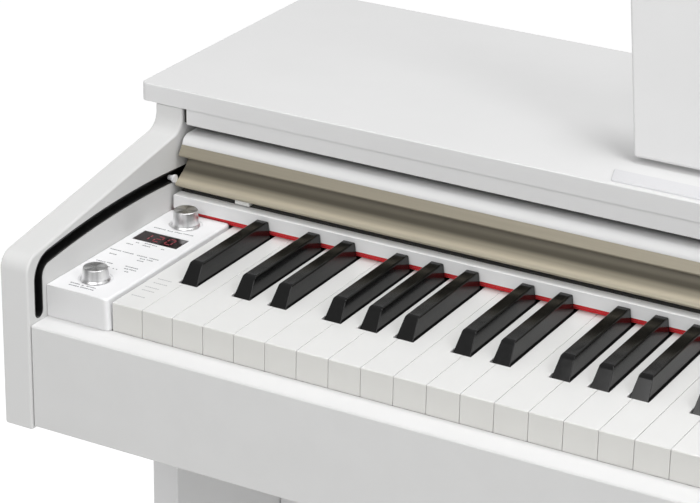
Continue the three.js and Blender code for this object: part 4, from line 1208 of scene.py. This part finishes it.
def pedal_width(distance, toe):
    """Half the pedal's width at a distance behind its tip: a round toe that tapers to the shank."""
    if distance < toe:
        return max(0.4, toe * math.sqrt(max(0.0, 1 - (1 - distance / toe) ** 2)))
    share = min(1.0, max(0.0, (distance - toe - PEDAL_TOE_STRAIGHT) / PEDAL_TAPER))
    return toe + (PEDAL_SHANK - toe) * (3 * share ** 2 - 2 * share ** 3)


def pedal(node):
    """A cast lever: slim shank, then a wide rounded toe with a gently crowned top."""
    (x0, x1), (tip, back), (low, high) = extent(node)
    middle, _, level = centre(node)
    bm = bmesh.new()
    rings = []
    for i in range(PEDAL_STATIONS + 1):
        distance = (back - tip) * (i / PEDAL_STATIONS) ** 1.6
        width = pedal_width(distance, (x1 - x0) / 2)
        fullness = 0.35 + 0.65 * math.sqrt(min(1.0, distance / PEDAL_TIP_ROUNDING))
        thick = (high - low) / 2 * min(1.0, fullness)
        ring = []
        for k in range(PEDAL_SIDES):
            t = 2 * math.pi * k / PEDAL_SIDES
            c, s = math.cos(t), math.sin(t)
            across = math.copysign(abs(c) ** 0.45, c) * width
            up = math.copysign(abs(s) ** 0.6, s) * thick
            ring.append(bm.verts.new((middle + across, tip + distance, level + up)))
        rings.append(ring)
    piece(node + "_cast", lofted(bm, rings), brass, node, node)


def stand():
    for side in ("left", "right"):
        board(f"leg_{side}", 1.5)
        foot(side)
    board("modesty_panel", 1.0)
    pedal_box()
    for node in PEDALS:
        pedal(node)


# Carried-over CAD nodes ----

def carried_over():
    """Gives the CAD nodes that stay their materials."""
    finishes = {
        back_board: ("key_bed", "cabinet_back_panel", "pedal_box_cover"),
        zinc: ("music_rest_bracket_left", "music_rest_bracket_right", "music_rest_rod", "key_chassis"),
        circuit: ("control_board", "main_board", "power_board"),
        paper: ("speaker_left", "speaker_right"),
        track_black: ("headphone_box", "power_inlet"),
        rubber: ("pedal_adjuster",),
    }
    for material, nodes in finishes.items():
        for node in nodes:
            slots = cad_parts[node].data.materials
            slots.clear()
            slots.append(material)


# Stage ----

# The camera's place in the keyboard's millimetres, and its angles in degrees: round to the treble side,
# up from level, and the slight tilt of the horizon.
CAMERA_PLACE = (925.0, -1339.6, 743.3)
CAMERA_AZIMUTH = 29.0997
CAMERA_ELEVATION = 23.4663
CAMERA_ROLL = 1.0570
CAMERA_LENS = 138.53
SENSOR_WIDTH = 36


def camera():
    data = bpy.data.cameras.new("camera")
    data.lens = CAMERA_LENS
    data.sensor_width = SENSOR_WIDTH
    turn = (
        Matrix.Rotation(math.radians(CAMERA_AZIMUTH), 4, "Z")
        @ Matrix.Rotation(math.radians(90 - CAMERA_ELEVATION), 4, "X")
        @ Matrix.Rotation(math.radians(CAMERA_ROLL), 4, "Z")
    )
    obj = added("camera", data)
    obj.matrix_world = Matrix.Translation(TO_FRAME @ Vector(CAMERA_PLACE)) @ turn
    bpy.context.scene.camera = obj


def area_light(name, place, size, power):
    """A square soft light aimed at the keys, a little to the bass side."""
    data = bpy.data.lights.new(name, "AREA")
    data.shape = "RECTANGLE"
    data.size = data.size_y = size
    data.energy = power
    obj = added(name, data)
    obj.location = place
    obj.rotation_euler = (Vector(LAMP_AIM) - Vector(place)).to_track_quat("-Z", "Y").to_euler()


SKY_LEVEL = 0.37
SKY_RIGHT = 0.30
FLOOR_SIZE = 40
FLOOR_DROP = 0.0005
FLOOR_GLOW_FRONT = 0.30
FLOOR_GLOW_BACK = 0.74
FLOOR_GLOW_START = -0.9
FLOOR_GLOW_END = 0.0
# Each lamp's place and size in metres, and its power in watts.
LAMPS = {
    "side_light": ((1.965, -0.893, 2.834), 0.9, 17),
    "top_light": ((0, 0.3, 3.735), 0.9, 37),
    "front_light": ((-0.3, -1.7, 2.0), 1.4, 21),
}
LAMP_AIM = (-0.2, 0, 0.75)


def sky():
    """Soft light from all round, with more from the treble side."""
    world = bpy.data.worlds.new("studio")
    world.use_nodes = True
    nodes, links = world.node_tree.nodes, world.node_tree.links
    background = nodes["Background"]
    background.inputs["Color"].default_value = (1, 1, 1, 1)
    place = nodes.new("ShaderNodeTexCoord")
    split = nodes.new("ShaderNodeSeparateXYZ")
    right = nodes.new("ShaderNodeMath")
    right.operation = "MAXIMUM"
    right.inputs[1].default_value = 0
    level = nodes.new("ShaderNodeMath")
    level.operation = "MULTIPLY_ADD"
    level.inputs[1].default_value = SKY_RIGHT
    level.inputs[2].default_value = SKY_LEVEL
    links.new(place.outputs["Generated"], split.inputs[0])
    links.new(split.outputs["X"], right.inputs[0])
    links.new(right.outputs[0], level.inputs[0])
    links.new(level.outputs[0], background.inputs["Strength"])
    bpy.context.scene.world = world


def floor_finish():
    """A pale studio floor that glows like a lit backdrop, softly less so in front of the piano."""
    pale = Finish("pale_floor", (0.45, 0.45, 0.45), 0.8).tint(3, 0.01)
    pale.shader.inputs["Emission Color"].default_value = (1, 1, 1, 1)
    glow = pale.ranged(pale.along("Y"), FLOOR_GLOW_FRONT, FLOOR_GLOW_BACK, FLOOR_GLOW_START, FLOOR_GLOW_END)
    pale.link(glow, pale.shader.inputs["Emission Strength"])
    return pale.material


def floor():
    bm = bmesh.new()
    bmesh.ops.create_grid(bm, x_segments=1, y_segments=1, size=FLOOR_SIZE)
    obj = scene_object("floor", bm)
    obj.data.materials.append(floor_finish())
    obj.location = (0, 0, -FLOOR_DROP)


def studio():
    bpy.context.scene.view_settings.view_transform = "Standard"
    sky()
    floor()
    for name, (place, size, power) in LAMPS.items():
        area_light(name, place, size, power)


cabinet()
keyboard()
key_cover()
controls()
music_rest()
rest_ledge()
stand()
carried_over()
studio()
camera()

bpy.context.view_layer.update()
